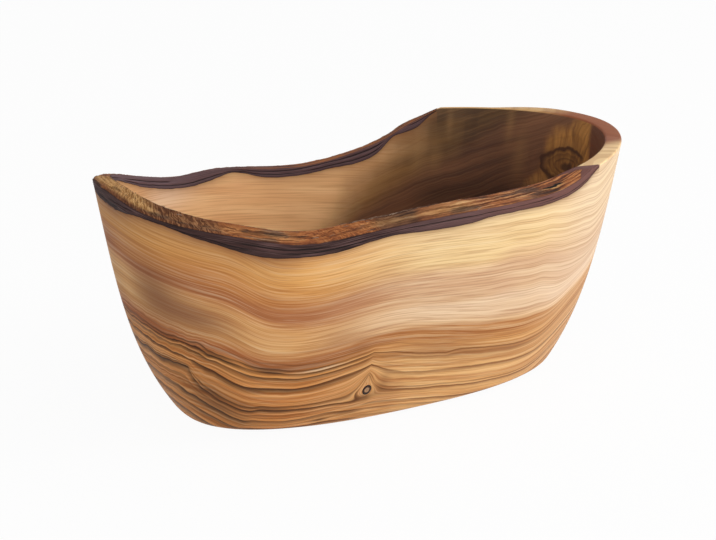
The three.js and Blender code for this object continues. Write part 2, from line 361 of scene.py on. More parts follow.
def bell(tree, value, centre, width):
    """A soft bump of height 1 about a centre."""
    off = calc(tree, "DIVIDE", minus(tree, value, centre), width)
    return calc(tree, "EXPONENT", times(tree, times(tree, off, off), -1.0))


def node_group(name, family, inputs, outputs):
    """An empty node group, with the sockets that it is given and those that it puts out."""
    group = bpy.data.node_groups.new(name, family + "Tree")
    for label, kind in inputs:
        group.interface.new_socket(label, in_out="INPUT", socket_type="NodeSocket" + kind)
    for label, kind in outputs:
        group.interface.new_socket(label, in_out="OUTPUT", socket_type="NodeSocket" + kind)
    return group, group.nodes.new("NodeGroupInput").outputs, group.nodes.new("NodeGroupOutput").inputs


# Wood fibre, shared by the wood and the bark: streaks that run along X of the coordinates they are given
fibre, given, put = node_group(
    "fibre_streaks", "ShaderNode",
    [("Place", "Vector"), ("Length", "Float"), ("Width", "Float"), ("Depth", "Float")], [("Streak", "Float")])
stretch = node(fibre, "CombineXYZ", {0: given["Length"], 1: given["Width"], 2: given["Depth"]})
stretched = node(fibre, "VectorMath", {0: given["Place"], 1: stretch.outputs[0]}, operation="DIVIDE")
fibre.links.new(fade(fibre, cloud(fibre, stretched.outputs[0], 1.0, 2.0), 0.28, 0.72), put["Streak"])


def streaks(tree, place, length, width, depth):
    """Streaks of a length, width and depth in mm, from 0 to 1."""
    inputs = {"Place": place, "Length": length * MM, "Width": width * MM, "Depth": depth * MM}
    return node(tree, "Group", inputs, node_tree=fibre).outputs["Streak"]


# The log's figure: its pith lies under the bowl, and its rings wander along X as the tree grew. The lists are
# (x, value) in mm: how far the rings rise or fall, where the fibres lie, and where single rings run.
PITH_DEPTH = 68 * MM
SWING_REACH = 100 * MM
TOP_RING_STEP = 10 * MM
FOOT_RING_STEP = 8 * MM
KNOT_X = -30 * MM
KNOT_HEIGHT = 19.6 * MM
FLAME_HEIGHT = 16 * MM
FLAME_WIDTH = 3.6 * MM
WANDER = [(-125, 3), (-100, 3), (-75, -4.5), (-22, 4.2), (0, 1), (30, -6), (57, -10.5), (80, -2), (125, 8)]
END_DIP = [(-125, 0), (50, 0), (58, 1), (66, 4), (76, 9.5), (90, 15), (125, 17)]
UPPER_RISE = [
    (-125, 0), (-22, 0), (0, 2.5), (20, 5), (36, 6.5), (50, 6.5), (58, 5.5), (66, 4), (76, 2), (90, 0),
    (125, 0),
]
FIBRE_RUN = [(-125, -125), (-50, -50), (10, 10), (30, 28), (50, 40), (70, 48), (90, 54), (125, 62)]
SAPWOOD = [
    (-125, 124), (-100, 124), (-82, 126.5), (-60, 127), (-45, 128), (-30, 130), (0, 131.5), (20, 132.7),
    (57, 132.7), (70, 131.5), (84, 131), (125, 132),
]
TOP_RING = [
    (-125, 117.5), (-112, 117.2), (-104, 118.3), (-98, 116.2), (-94, 116), (-88, 117), (-80, 118.4),
    (-74, 119), (-67, 118.2), (-58, 117.6), (-46, 117.8), (-34, 118.4), (-22, 118.3), (-14, 117),
    (-4, 116.4), (5, 116.6), (11, 118), (20, 118.7), (35, 118.3), (50, 117.9), (125, 117.5),
]
MIDDLE_RING = [
    (-125, 112), (-112, 111.3), (-105, 110.4), (-98, 108.3), (-90, 106.8), (-85, 107), (-79, 108.6),
    (-73, 109.7), (-62, 109.2), (-50, 110), (-42, 110.6), (-34, 110.4), (-26, 108.4), (-18, 106.5),
    (-10, 105.6), (5, 106.3), (20, 107.6), (40, 108), (60, 107.3), (80, 106), (125, 106),
]
LOW_RING = [
    (-125, 104), (-112, 104.5), (-107, 105), (-104, 106), (-102, 101.5), (-99, 97), (-95, 94.2), (-90, 92.7),
    (-84, 92.8), (-79, 93.7), (-74, 95.6), (-65, 95.5), (-55, 95), (-45, 93.8), (-36, 92.4), (-31, 93.5),
    (-26, 95.8), (-18, 95.5), (-8, 95), (10, 95.5), (30, 95.9), (45, 96.4), (60, 95.8), (80, 94), (125, 94),
]
FOOT_RING = [
    (-125, 93), (-107, 92), (-100, 89.5), (-94, 87), (-88, 86.3), (-81, 86), (-75, 87.6), (-65, 87.6),
    (-55, 88), (-47, 88.6), (-38, 86.8), (-30, 85.6), (-20, 84.5), (-10, 84), (20, 84), (125, 84),
]


def grown(tree, x, stations):
    """A value that follows (x, value) stations in mm along the log."""
    along = np.array(stations).T[0] * MM
    value = np.array(stations).T[1] * MM
    room = 10 * float(np.ptp(value))
    low, high = float(value.min()) - room, float(value.max()) + room
    spots = list(zip((along - along[0]) / (along[-1] - along[0]), (value - low) / (high - low)))
    share = node(tree, "MapRange", {0: x, 1: float(along[0]), 2: float(along[-1])}).outputs[0]
    made = node(tree, "FloatCurve", {1: share})
    curve = made.mapping.curves[0]
    curve.points[0].location = spots[0]
    curve.points[1].location = spots[-1]
    for spot in spots[1:-1]:
        curve.points.new(*spot)
    for point in curve.points:
        point.handle_type = "AUTO_CLAMPED"
    made.mapping.update()
    return node(tree, "MapRange", {0: made.outputs[0], 3: low, 4: high}).outputs[0]


def log_rings(tree, x, y, z, place):
    """Distance from the pith as the log grew, lifted in a flame over the knot on the near wall."""
    up = plus(tree, z, PITH_DEPTH)
    ring = minus(tree, hypotenuse(tree, y, up), grown(tree, x, WANDER))
    gnarl = cloud(tree, place, 130.0, 2.0)
    at_tip = fade(tree, x, -88 * MM, -108 * MM, 0.9 * MM, 4 * MM)
    gnarl = times(tree, minus(tree, gnarl, 0.5), at_tip)
    gnarl = times(tree, gnarl, fade(tree, ring, 135 * MM, 115 * MM, 0.1, 1.0))
    dip = times(tree, grown(tree, x, END_DIP), fade(tree, ring, 113 * MM, 140 * MM))
    rise = times(tree, grown(tree, x, UPPER_RISE), fade(tree, ring, 130 * MM, 160 * MM))
    ring = plus(tree, plus(tree, ring, gnarl), minus(tree, dip, rise))
    beside = calc(tree, "DIVIDE", calc(tree, "ABSOLUTE", minus(tree, x, KNOT_X - 1 * MM)), -FLAME_WIDTH)
    lift = times(tree, fade(tree, ring, 92 * MM, 98.5 * MM), calc(tree, "EXPONENT", beside))
    lift = times(tree, lift, fade(tree, ring, 105.5 * MM, 114.5 * MM, 1.0, 0.2))
    lift = times(tree, lift, fade(tree, ring, 113 * MM, 129 * MM, 1.0, 0.0))
    lift = times(tree, lift, fade(tree, y, -20 * MM, -34 * MM, 0.0, FLAME_HEIGHT))
    bent = minus(tree, ring, lift)
    swing = times(tree, calc(tree, "ARCTAN2", y, up), SWING_REACH)
    along = grown(tree, x, FIBRE_RUN)
    return ring, bent, node(tree, "CombineXYZ", {0: along, 1: bent, 2: swing}).outputs[0]


def ring_count(tree, x, ring):
    """Rings counted from 0 at the foot's ring to 3 at the top ring, and on outside them."""
    levels = [grown(tree, x, stations) for stations in (FOOT_RING, LOW_RING, MIDDLE_RING, TOP_RING)]
    count = calc(tree, "DIVIDE", calc(tree, "MAXIMUM", minus(tree, ring, levels[3]), 0.0), TOP_RING_STEP)
    for lower, upper in zip(levels, levels[1:]):
        count = plus(tree, count, node(tree, "MapRange", {0: ring, 1: lower, 2: upper}).outputs[0])
    below = calc(tree, "MAXIMUM", minus(tree, levels[0], ring), 0.0)
    return minus(tree, count, calc(tree, "DIVIDE", below, FOOT_RING_STEP))


BAND_START = -20
BAND_END = 60


def ring_bands(tree, height, bands):
    """Wood tones by mm above the heartwood's edge, as (mm, red, green, blue)."""
    share = node(tree, "MapRange", {0: height, 1: BAND_START * MM, 2: BAND_END * MM}).outputs[0]
    width = BAND_END - BAND_START
    return ramp(tree, share, [((at - BAND_START) / width, tone(*rgb)) for at, *rgb in bands])


LINE_START = -2.5
LINE_END = 4.0
LINE_EDGE = 0.03
LINE_SOFTNESS = 0.72


def dark_lines(tree, count, lines):
    """Dark late wood of the heartwood's rings, sharp on the outside, as (ring count, fade, strength)."""
    share = node(tree, "MapRange", {0: count, 1: LINE_START, 2: LINE_END}).outputs[0]
    stops = []
    for at, soft, strength in sorted(lines):
        for spot, level in ((at - soft, 0), (at, strength), (at + LINE_EDGE, 0)):
            stops.append(((spot - LINE_START) / (LINE_END - LINE_START), (level, level, level, 1)))
    return calc(tree, "POWER", ramp(tree, share, stops), LINE_SOFTNESS)


TIP_BANDS = [
    (-18, 222, 154, 88), (-9, 222, 154, 86), (-5, 172, 107, 62), (-2, 184, 117, 70), (1, 204, 146, 91),
    (6, 218, 165, 104), (13, 222, 169, 109), (18, 206, 148, 94), (22, 184, 122, 78), (25, 178, 115, 72),
    (29, 204, 140, 82), (35, 222, 161, 92), (42, 232, 173, 102), (49, 236, 179, 110), (55, 224, 164, 100),
]
SAWN_BANDS = [
    (-18, 234, 186, 124), (-10, 216, 162, 100), (-5, 194, 138, 84), (-1, 190, 133, 81),
    (0.6, 221, 181, 136), (4, 232, 200, 162), (10, 234, 205, 171), (14.5, 226, 191, 152),
    (18.5, 214, 174, 136), (22.5, 212, 170, 132), (26.5, 226, 188, 144), (32, 236, 203, 148),
    (40, 239, 208, 154), (52, 236, 203, 154),
]
END_BANDS = [
    (-18, 226, 178, 126), (-4, 212, 164, 116), (-1, 208, 160, 112), (0.6, 240, 206, 168), (8, 242, 216, 186),
    (16, 227, 196, 165), (24, 221, 188, 155), (30, 224, 191, 157), (40, 231, 202, 165), (54, 235, 209, 172),
]
TIP_LINES = [
    (-1.6, 0.4, 0.9), (-0.8, 0.4, 0.85), (0, 0.4, 0.95), (0.55, 0.25, 0.4), (1, 0.32, 1.0), (1.17, 0.12, 0.8),
    (2, 0.3, 0.95), (2.68, 0.28, 0.85), (3, 0.22, 1.0), (3.2, 0.12, 0.75),
]
SAWN_LINES = [
    (-0.6, 0.3, 0.5), (0, 0.2, 0.6), (0.34, 0.18, 0.85), (1, 0.16, 0.9), (1.15, 0.1, 0.6),
    (2, 0.22, 0.8), (2.82, 0.2, 0.4), (3, 0.08, 0.95),
]
THIN_LINES = [
    (-1.2, 0.2, 0.5), (-0.4, 0.2, 0.45), (0.3, 0.15, 0.4), (0.78, 0.12, 0.35), (1.36, 0.14, 0.3),
    (1.6, 0.14, 0.22), (1.82, 0.12, 0.25), (2.3, 0.14, 0.4), (2.45, 0.1, 0.3), (3.5, 0.06, 0.35),
]
# Stains of the near wall as (x, reach, ring, reach, strength, tone), in mm: at the tip, under the knot and in
# the lines, and one at x -98, ring 100 that is partly painted shade low on the tip, beside its dark lines
STAINS_AND_SHADE = [
    (-122, 12, 137, 14, 0.9, (112, 68, 50)), (-65, 20, 122.5, 3.2, 0.4, (132, 84, 50)),
    (-30.5, 5, 93, 2.2, 0.7, (84, 50, 30)), (-71, 9, 96.4, 1.3, 0.55, (58, 36, 22)),
    (-96, 5, 94.5, 2, 0.5, (50, 32, 22)), (-110, 5, 104, 2.6, 0.55, (58, 38, 26)),
    (-48, 4, 84.2, 0.9, 0.8, (60, 36, 20)), (42, 15, 115.3, 2.6, 0.35, (138, 88, 64)),
    (-96, 7, 116.3, 1.4, 0.6, (50, 32, 22)), (-76, 8, 119.3, 1.2, 0.6, (56, 36, 24)),
    (-90, 12, 89, 8, 0.55, (84, 56, 40)), (-54, 9, 118.5, 0.5, 0.8, (238, 214, 178)),
    (-44, 10, 148, 6, 0.35, (176, 116, 80)), (10, 40, 116, 4.5, 0.45, (140, 88, 54)),
    (0, 22, 121, 4, 0.3, (142, 92, 66)), (30, 9, 147, 4, 0.3, (190, 138, 108)),
    (-98, 16, 100, 14, 0.3, (110, 66, 44)), (-18, 6, 94, 9, 0.3, (150, 92, 54)),
    (-23, 3.5, 101, 8, 0.4, (120, 72, 40)), (-66, 12, 151, 6, 0.3, (170, 108, 72)),
    (-38, 6, 125, 4, 0.4, (140, 88, 52)), (-106, 16, 133, 7.5, 0.7, (119, 73, 55)),
    (-48, 9, 133, 6, 0.35, (150, 96, 62)), (-75, 10, 133, 5, 0.3, (226, 176, 120)),
]

carved_wood, tree = new_material("carved_wood")
place = node(tree, "TexCoord").outputs["Object"]
x, y, z = node(tree, "SeparateXYZ", {0: place}).outputs
ring, bent, grain = log_rings(tree, x, y, z, place)
pores = streaks(tree, grain, 22, 0.6, 40)
fine = streaks(tree, grain, 55, 1.1, 100)
medium = streaks(tree, grain, 75, 2.6, 140)
broad = streaks(tree, grain, 130, 8, 80)
sawn_share = fade(tree, x, -72 * MM, -2 * MM)

stray = times(tree, minus(tree, broad, 0.5), 3.5 * MM)
stray = plus(tree, stray, times(tree, minus(tree, medium, 0.5), 3 * MM))
drift = cloud(tree, place, 22.0, 1.0)
stray = plus(tree, stray, times(tree, minus(tree, drift, 0.5), 14 * MM))
height = minus(tree, bent, grown(tree, x, SAPWOOD))
sap = fade(tree, height, -1 * MM, 10 * MM)
height = plus(tree, height, times(tree, stray, fade(tree, sap, 0.0, 1.0, 0.2, 1.0)))
colour = blend(tree, sawn_share, ring_bands(tree, height, TIP_BANDS), ring_bands(tree, height, SAWN_BANDS))
colour = blend(tree, fade(tree, x, 40 * MM, 84 * MM), colour, ring_bands(tree, height, END_BANDS))
layered = times(tree, fade(tree, medium, 0.3, 1.0), fade(tree, sap, 0.0, 1.0, 0.34, 0.17))
colour = blend(tree, layered, colour, tone(186, 132, 88), "MULTIPLY")
fine_share = times(tree, fade(tree, fine, 0.45, 1.0), fade(tree, sap, 0.0, 1.0, 0.3, 0.16))
colour = blend(tree, fine_share, colour, tone(186, 136, 94), "MULTIPLY")
colour = blend(tree, fade(tree, fine, 0.35, 0.0, 0.0, 0.14), colour, tone(255, 238, 200))
colour = blend(tree, fade(tree, pores, 0.5, 0.95, 0.0, 0.3), colour, tone(170, 116, 76), "MULTIPLY")
colour = blend(tree, fade(tree, pores, 0.4, 0.0, 0.0, 0.15), colour, tone(255, 236, 198))

# Each stain darkens or lightens the near wall; the one at x -98, ring 100 is partly painted shade
for at, reach, level, depth, strength, rgb in STAINS_AND_SHADE:
    stain_and_shade = times(tree, bell(tree, x, at * MM, reach * MM), bell(tree, ring, level * MM, depth * MM))
    stain_and_shade = times(tree, stain_and_shade, fade(tree, y, 0.0, -30 * MM, 0.0, strength))
    colour = blend(tree, stain_and_shade, colour, tone(*rgb))

count = ring_count(tree, x, bent)
tip_lines = dark_lines(tree, count, TIP_LINES)
sawn_lines = dark_lines(tree, count, SAWN_LINES)
thin_lines = times(tree, dark_lines(tree, count, THIN_LINES), fade(tree, x, -60 * MM, 20 * MM, 0.8, 0.45))
lines = blend(tree, fade(tree, x, -35 * MM, -27 * MM), tip_lines, sawn_lines)
lines = calc(tree, "MAXIMUM", thin_lines, lines)
line_share = times(tree, lines, fade(tree, streaks(tree, grain, 35, 3, 30), 0.0, 0.6, 0.7, 1.0))
by_knot = times(tree, bell(tree, x, KNOT_X, 4 * MM), bell(tree, ring, 100 * MM, 4 * MM))
line_share = times(tree, line_share, minus(tree, 1.0, by_knot))
line_tone = blend(tree, fade(tree, x, -95 * MM, 20 * MM), tone(44, 27, 17), tone(116, 66, 30))
colour = blend(tree, line_share, colour, line_tone)

# Inside, the cut runs along the rings: tan at the tip, then a golden veil over dark heartwood, and a golden
# patch over the stub of a branch at the sawn end. The dark towards the sawn end is partly the wood's own and
# partly painted shade, where the sawn end shades the hollow. Edges and grain run aslant, as sums of turn and
# height. The floor keeps the log's own figure, darkened towards the sawn end.
BRANCH_Y = 8 * MM
BRANCH_Z = 82 * MM
BRANCH_SQUASH = 0.67
FAN_DEPTH = 45 * MM
LEVEL_TILT = 0.14
INNER_OVAL = 1.6
SWEEP_REACH = 70 * MM
VEIL_SLANT = 11.6
VEIL_TOP = 86 * MM
VEIL_EDGE = -2.13
HEART_SLANT = 0.0546
HEART_EDGE = 131.4 * MM
GRAIN_SLANT = 0.032
PATCH_FOOT = 77 * MM
PATCH_FLARE = 15.0
PATCH_LEFT = -0.315
PATCH_TOP_SLANT = -12.0
PATCH_TOP = -1.42
PATCH_RIGHT_SLANT = -4.7
PATCH_RIGHT = -0.5
WALL_FIGURE_START = 20 * MM
WALL_FIGURE_FULL = 52 * MM
WALL_FIGURE_SHARE = 0.95
within = painted(tree, "inside")
level = plus(tree, z, times(tree, x, LEVEL_TILT))
straight = node(tree, "CombineXYZ", {0: x, 1: level, 2: y}).outputs[0]
inner_fine = streaks(tree, straight, 30, 0.6, 30)
inner_broad = streaks(tree, straight, 70, 6, 60)
side_turn = calc(tree, "ARCTAN2", times(tree, y, INNER_OVAL), x)
turn = calc(tree, "ABSOLUTE", side_turn)
sweep = times(tree, side_turn, SWEEP_REACH)
drift = cloud(tree, place, 45.0, 3.0)
drift = minus(tree, drift, 0.5)
lean = plus(tree, times(tree, turn, HEART_SLANT), z)
aslant = plus(tree, times(tree, turn, GRAIN_SLANT), times(tree, drift, 6 * MM))
leant = node(tree, "CombineXYZ", {0: sweep, 1: plus(tree, aslant, z), 2: 0.0}).outputs[0]
lean_fine = streaks(tree, leant, 34, 0.9, 1)
lean_broad = streaks(tree, leant, 50, 6, 1)
curtain = streaks(tree, node(tree, "CombineXYZ", {0: z, 1: sweep, 2: 0.0}).outputs[0], 60, 6, 1)


def edge(value, level, sway, soft):
    """A share that rises over a soft edge where a value passes its level, with the edge swaying."""
    swayed = minus(tree, plus(tree, value, times(tree, drift, sway)), level)
    return fade(tree, swayed, -soft, soft)


def spot(turned, turn_reach, height, reach, strength):
    """A soft spot on the inner wall, by its turn in degrees and its height in mm."""
    round_wall = bell(tree, turn, math.radians(turned), math.radians(turn_reach))
    spotted = times(tree, round_wall, bell(tree, z, height * MM, reach * MM))
    return times(tree, spotted, strength)


tan = blend(tree, inner_broad, tone(250, 205, 148), tone(236, 182, 126))
tan = blend(tree, spot(131, 9, 84, 7, 0.5), tan, tone(255, 232, 208))
tan = blend(tree, fade(tree, inner_fine, 0.4, 1.0, 0.0, 0.32), tan, tone(190, 142, 102), "MULTIPLY")
tan = blend(tree, fade(tree, drift, 0.0, 0.25, 0.0, 0.3), tan, tone(226, 170, 122))

# Partly painted shade: the veil and heartwood darken where the sawn end shades the hollow, and near the top
veil = blend(tree, fade(tree, lean_broad, 0.1, 0.9), tone(132, 96, 56), tone(100, 72, 45))
veil = blend(tree, fade(tree, curtain, 0.4, 1.0, 0.0, 0.5), veil, tone(84, 59, 39))
# Painted light: the veil lighter at turns of 55 to 72 degrees, beside the edge of the shade
veil = blend(tree, fade(tree, turn, math.radians(55), math.radians(72), 0.0, 0.6), veil, tone(166, 122, 74))
veil = blend(tree, fade(tree, z, 82 * MM, 98 * MM, 0.0, 0.65), veil, tone(70, 50, 33))
shaded_heart = blend(tree, fade(tree, lean_broad, 0.1, 0.9), tone(122, 83, 60), tone(93, 63, 49))
heart_share = edge(lean, HEART_EDGE, 14 * MM, 7 * MM)
deep = blend(tree, heart_share, shaded_heart, veil)
# Painted light: lighter red-brown towards the sawn end, at turns below 34 degrees
deep = blend(tree, fade(tree, turn, math.radians(34), math.radians(20), 0.0, 0.5), deep, tone(140, 98, 73))
SHEENS = [
    (57.5, 2.5, 84, 10, 0.5), (53, 2.5, 83, 8, 0.35), (49.5, 1.1, 98, 8, 0.35), (47, 2, 92, 14, 0.15),
    (31.5, 1.4, 99, 9, 0.4), (27, 2.5, 84, 12, 0.3),
]
for sheen in SHEENS:
    deep = blend(tree, spot(*sheen), deep, tone(166, 126, 80))
# Partly painted shade: two dark spots in the shaded hollow, and the low shade in the corner below
deep = blend(tree, spot(36, 4, 88, 12, 0.35), deep, tone(72, 50, 43))
deep = blend(tree, spot(43, 4, 88, 14, 0.3), deep, tone(66, 45, 38))
in_corner = fade(tree, turn, math.radians(64), math.radians(52))
low_shade = times(tree, fade(tree, z, 78 * MM, 64 * MM, 0.0, 0.5), in_corner)
deep = blend(tree, low_shade, deep, tone(52, 36, 30))
deep = blend(tree, fade(tree, lean_fine, 0.4, 1.0, 0.0, 0.24), deep, tone(150, 106, 84), "MULTIPLY")
deep = blend(tree, fade(tree, lean_fine, 0.35, 0.0, 0.0, 0.12), deep, tone(176, 128, 84))

# The golden patch: flames that fan out from below the branch, between two leaning edges
from_side = times(tree, minus(tree, y, BRANCH_Y), BRANCH_SQUASH)
from_level = minus(tree, z, BRANCH_Z)
fan = times(tree, calc(tree, "ARCTAN2", from_side, plus(tree, from_level, FAN_DEPTH)), FAN_DEPTH)
fan = plus(tree, fan, times(tree, drift, 5 * MM))
fanned = node(tree, "CombineXYZ", {0: from_level, 1: fan, 2: 0.0})
flames = streaks(tree, fanned.outputs[0], 22, 2.2, 1)
flickers = streaks(tree, fanned.outputs[0], 12, 0.7, 1)
low_reach = times(tree, calc(tree, "MAXIMUM", minus(tree, PATCH_FOOT, z), 0.0), PATCH_FLARE)
left_edge = edge(minus(tree, low_reach, side_turn), PATCH_LEFT, 0.3, 0.05)
top_edge = edge(minus(tree, times(tree, z, PATCH_TOP_SLANT), side_turn), PATCH_TOP, 0.3, 0.06)
right_edge = edge(plus(tree, times(tree, z, PATCH_RIGHT_SLANT), side_turn), PATCH_RIGHT, 0.12, 0.03)
patch = times(tree, times(tree, left_edge, top_edge), right_edge)
patch = times(tree, patch, fade(tree, z, 66 * MM, 79 * MM, 0.0, 0.95))
golden = blend(tree, flames, tone(212, 152, 82), tone(152, 104, 56))
golden = blend(tree, fade(tree, z, 82 * MM, 70 * MM, 0.0, 0.4), golden, tone(236, 178, 104))
golden = blend(tree, fade(tree, flickers, 0.5, 1.0, 0.0, 0.45), golden, tone(104, 66, 38))
beyond = fade(tree, side_turn, math.radians(2), math.radians(-4), 0.0, 0.7)
beyond = times(tree, beyond, fade(tree, side_turn, math.radians(-50), math.radians(-25)))
deep = blend(tree, beyond, deep, tone(104, 60, 46))
deep = blend(tree, patch, deep, golden)
from_branch = hypotenuse(tree, from_side, from_level)
waver = cloud(tree, place, 150.0, 2.0)
waver = times(tree, minus(tree, waver, 0.5), 5 * MM)
waver = plus(tree, waver, times(tree, drift, 9 * MM))
from_branch = plus(tree, from_branch, waver)
BRANCH_REACH = 24
BRANCH_RINGS = [
    (0, 0.95), (1.8, 0.9), (2.8, 0.4), (3.4, 0.4), (4.2, 0.75), (4.8, 0.4), (6.4, 0.65), (7, 0.35),
    (8.5, 0.95), (9.3, 0.9), (10, 0.25), (12.6, 0.1), (13.6, 0.2), (14.4, 0.06), (24, 0),
]
ring_share = ramp(tree, node(tree, "MapRange", {0: from_branch, 1: 0.0, 2: BRANCH_REACH * MM}).outputs[0],
                  [(at / BRANCH_REACH, (level, level, level, 1)) for at, level in BRANCH_RINGS])
ring_share = times(tree, ring_share, fade(tree, x, 70 * MM, 90 * MM))
ring_share = times(tree, ring_share, fade(tree, side_turn, math.radians(-4), math.radians(2)))
deep = blend(tree, ring_share, deep, tone(66, 40, 32))

# The edge from the tan into the dark is partly a painted shadow edge, where the sawn end shades the hollow
veil_top = times(tree, calc(tree, "MINIMUM", z, VEIL_TOP), -VEIL_SLANT)
shadow_edge = edge(minus(tree, veil_top, turn), VEIL_EDGE, 0.25, 0.2)
tan = blend(tree, shadow_edge, tan, deep)
above_floor = fade(tree, z, WALL_FIGURE_START, WALL_FIGURE_FULL, 0.0, WALL_FIGURE_SHARE)
on_wall = times(tree, within, above_floor)
dark_floor = times(tree, within, fade(tree, x, -40 * MM, 50 * MM, 0.0, 0.6))
colour = blend(tree, dark_floor, colour, tone(112, 76, 52))
colour = blend(tree, on_wall, colour, tan)

# The saw cut shows end grain: tan along the far side, red-brown across the end, pale towards the near bark.
# The tan along the far side is partly a painted highlight, where the far edge catches the light
sawn = painted(tree, "sawn_rim")
end_grain = blend(tree, fade(tree, y, -38 * MM, -27 * MM), tone(255, 218, 164), tone(156, 92, 62))
# Partly painted highlight: the tan along the far side of the cut
end_grain = blend(tree, fade(tree, y, 14 * MM, 32 * MM), end_grain, tone(222, 178, 122))
end_grain = blend(tree, fade(tree, fine, 0.4, 1.0, 0.0, 0.3), end_grain, tone(170, 118, 88), "MULTIPLY")
colour = blend(tree, times(tree, sawn, 0.95), colour, end_grain)

# Painted shade under the bark's edge, over the wood's own dark line there
bark_shade = painted(tree, "bark_edge_shade")
colour = blend(tree, times(tree, bark_shade, 0.55), colour, tone(120, 76, 46))
# Painted shade: the outside of the tip darkens towards the bark
outside = times(tree, minus(tree, 1.0, within), fade(tree, x, -60 * MM, -84 * MM, 0.0, 0.7))
tip_bark_shade = times(tree, calc(tree, "POWER", bark_shade, 0.25), outside)
colour = blend(tree, tip_bark_shade, colour, tone(138, 88, 56))
# Painted shadow of the bark on the inside: the inner wall darkens towards the bark
bark_shadow_inside = times(tree, calc(tree, "POWER", bark_shade, 0.3), times(tree, within, 0.3))
colour = blend(tree, bark_shadow_inside, colour, tone(150, 104, 66))

bump_height = plus(tree, fine, times(tree, line_share, -0.6))
bump = node(tree, "Bump", {"Strength": 0.15, "Distance": 0.1 * MM, "Height": bump_height})
connect(tree, tree.nodes["Principled BSDF"], {
    "Base Color": colour, "Roughness": fade(tree, medium, 0.0, 1.0, 0.5, 0.62),
    "Specular IOR Level": 0.12, "Normal": bump.outputs[0],
})

columns = len(angles)
index = np.arange(rings.shape[0] * columns).reshape(-1, columns)
turned = np.roll(index, -1, axis=1)
quads = np.stack([index[:-1], turned[:-1], turned[1:], index[1:]], axis=-1).reshape(-1, 4)
foot_point = index.size
floor_point = index.size + 1
fans = [(foot_point, a, b) for a, b in zip(turned[0], index[0])]
fans += [(floor_point, a, b) for a, b in zip(index[-1], turned[-1])]
body_points = np.concatenate([rings.reshape(-1, 3), [[BASE_SHIFT, 0, 0]], [floor_centre]])
body_attributes = {
    "inside": np.append(inside, [0, 1]),
    "sawn_rim": np.append(sawn_rim, [0, 0]),
    "bark_edge_shade": np.append(bark_edge_shade, [0, 0]),
}
carved_bowl = make_piece("carved_bowl", body_points, quads.tolist() + fans, body_attributes, carved_wood)


# Encased knot
# A dead twig stub that the tree grew round, sanded flush low on the near wall. It is a grey-tan plug with a
# dark ring of its own bark, and it sits loose in the pocket that it left in the wood.
KNOT_WIDTH = 4.4 * MM
KNOT_TALL = 6.4 * MM
KNOT_DEPTH = 6 * MM
KNOT_TAPER = 0.75
KNOT_SIDES = 48
KNOT_PASSES = 40
SMALL_STEP = 1e-5
POCKET_GAP = 0.12 * MM
POCKET_SHARE = 0.04

# The angle of the near wall at the knot's place along X, found by halving
low, high = -math.pi, 0.0
for _ in range(KNOT_PASSES):
    middle = (low + high) / 2
    if wall_points(middle, KNOT_HEIGHT, 0.0)[0] < KNOT_X:
        low = middle
    else:
        high = middle
knot_place = wall_points(low, KNOT_HEIGHT, 0.0)
knot_along = wall_points(low + SMALL_STEP, KNOT_HEIGHT, 0.0) - knot_place
knot_up = wall_points(low, KNOT_HEIGHT + SMALL_STEP, 0.0) - knot_place
knot_along /= np.linalg.norm(knot_along)
knot_out = np.cross(knot_along, knot_up)
knot_out /= np.linalg.norm(knot_out)
knot_up = np.cross(knot_out, knot_along)


def plug(profile):
    """A closed oval plug square to the wall, from (share of its width, height out of the wall) pairs."""
    turn = np.linspace(0, 2 * np.pi, KNOT_SIDES, endpoint=False)[:, None]
    oval = KNOT_WIDTH / 2 * np.cos(turn) * knot_along + KNOT_TALL / 2 * np.sin(turn) * knot_up
    points = [knot_place + share * oval + height * knot_out for share, height in profile]
    points += [[knot_place + profile[0][1] * knot_out], [knot_place + profile[-1][1] * knot_out]]
    ring = np.arange(len(profile) * KNOT_SIDES).reshape(-1, KNOT_SIDES)
    after = np.roll(ring, -1, axis=1)
    faces = np.stack([ring[:-1], after[:-1], after[1:], ring[1:]], axis=-1).reshape(-1, 4).tolist()
    start = ring.size
    faces += [(start, b, a) for a, b in zip(ring[0], after[0])]
    faces += [(start + 1, a, b) for a, b in zip(ring[-1], after[-1])]
    return np.concatenate(points), faces


knot_wood, tree = new_material("knot_wood")
place = node(tree, "TexCoord").outputs["Object"]
centred = node(tree, "VectorMath", {0: place, 1: tuple(knot_place)}, operation="SUBTRACT").outputs[0]
rough_edge = cloud(tree, place, 900.0, 2.0)
knot_parts = []
for way, size in ((knot_along, KNOT_WIDTH), (knot_up, KNOT_TALL)):
    scaled = tuple(way * 2 / size)
    off = node(tree, "VectorMath", {0: centred, 1: scaled}, operation="DOT_PRODUCT").outputs["Value"]
    knot_parts.append(off)
share = hypotenuse(tree, *knot_parts)
share = plus(tree, share, times(tree, minus(tree, rough_edge, 0.5), 0.25))
colour = ramp(tree, share, [
    (0.0, tone(112, 84, 62)), (0.12, tone(168, 132, 100)), (0.4, tone(172, 134, 98)),
    (0.52, tone(104, 72, 50)), (0.64, tone(48, 32, 24)), (0.9, tone(36, 24, 18)), (1.0, tone(60, 38, 26)),
])
bump = node(tree, "Bump", {"Strength": 0.4, "Distance": 0.1 * MM, "Height": share})
connect(tree, tree.nodes["Principled BSDF"], {
    "Base Color": colour, "Roughness": 0.6, "Specular IOR Level": 0.2, "Normal": bump.outputs[0],
})

knot_profile = [
    (KNOT_TAPER, -KNOT_DEPTH), (0.97, -0.4 * MM), (1.0, -0.12 * MM), (0.94, -0.02 * MM), (0.7, 0.02 * MM),
    (0.35, 0.05 * MM),
]
encased_knot = make_piece("encased_knot", *plug(knot_profile), {}, knot_wood)

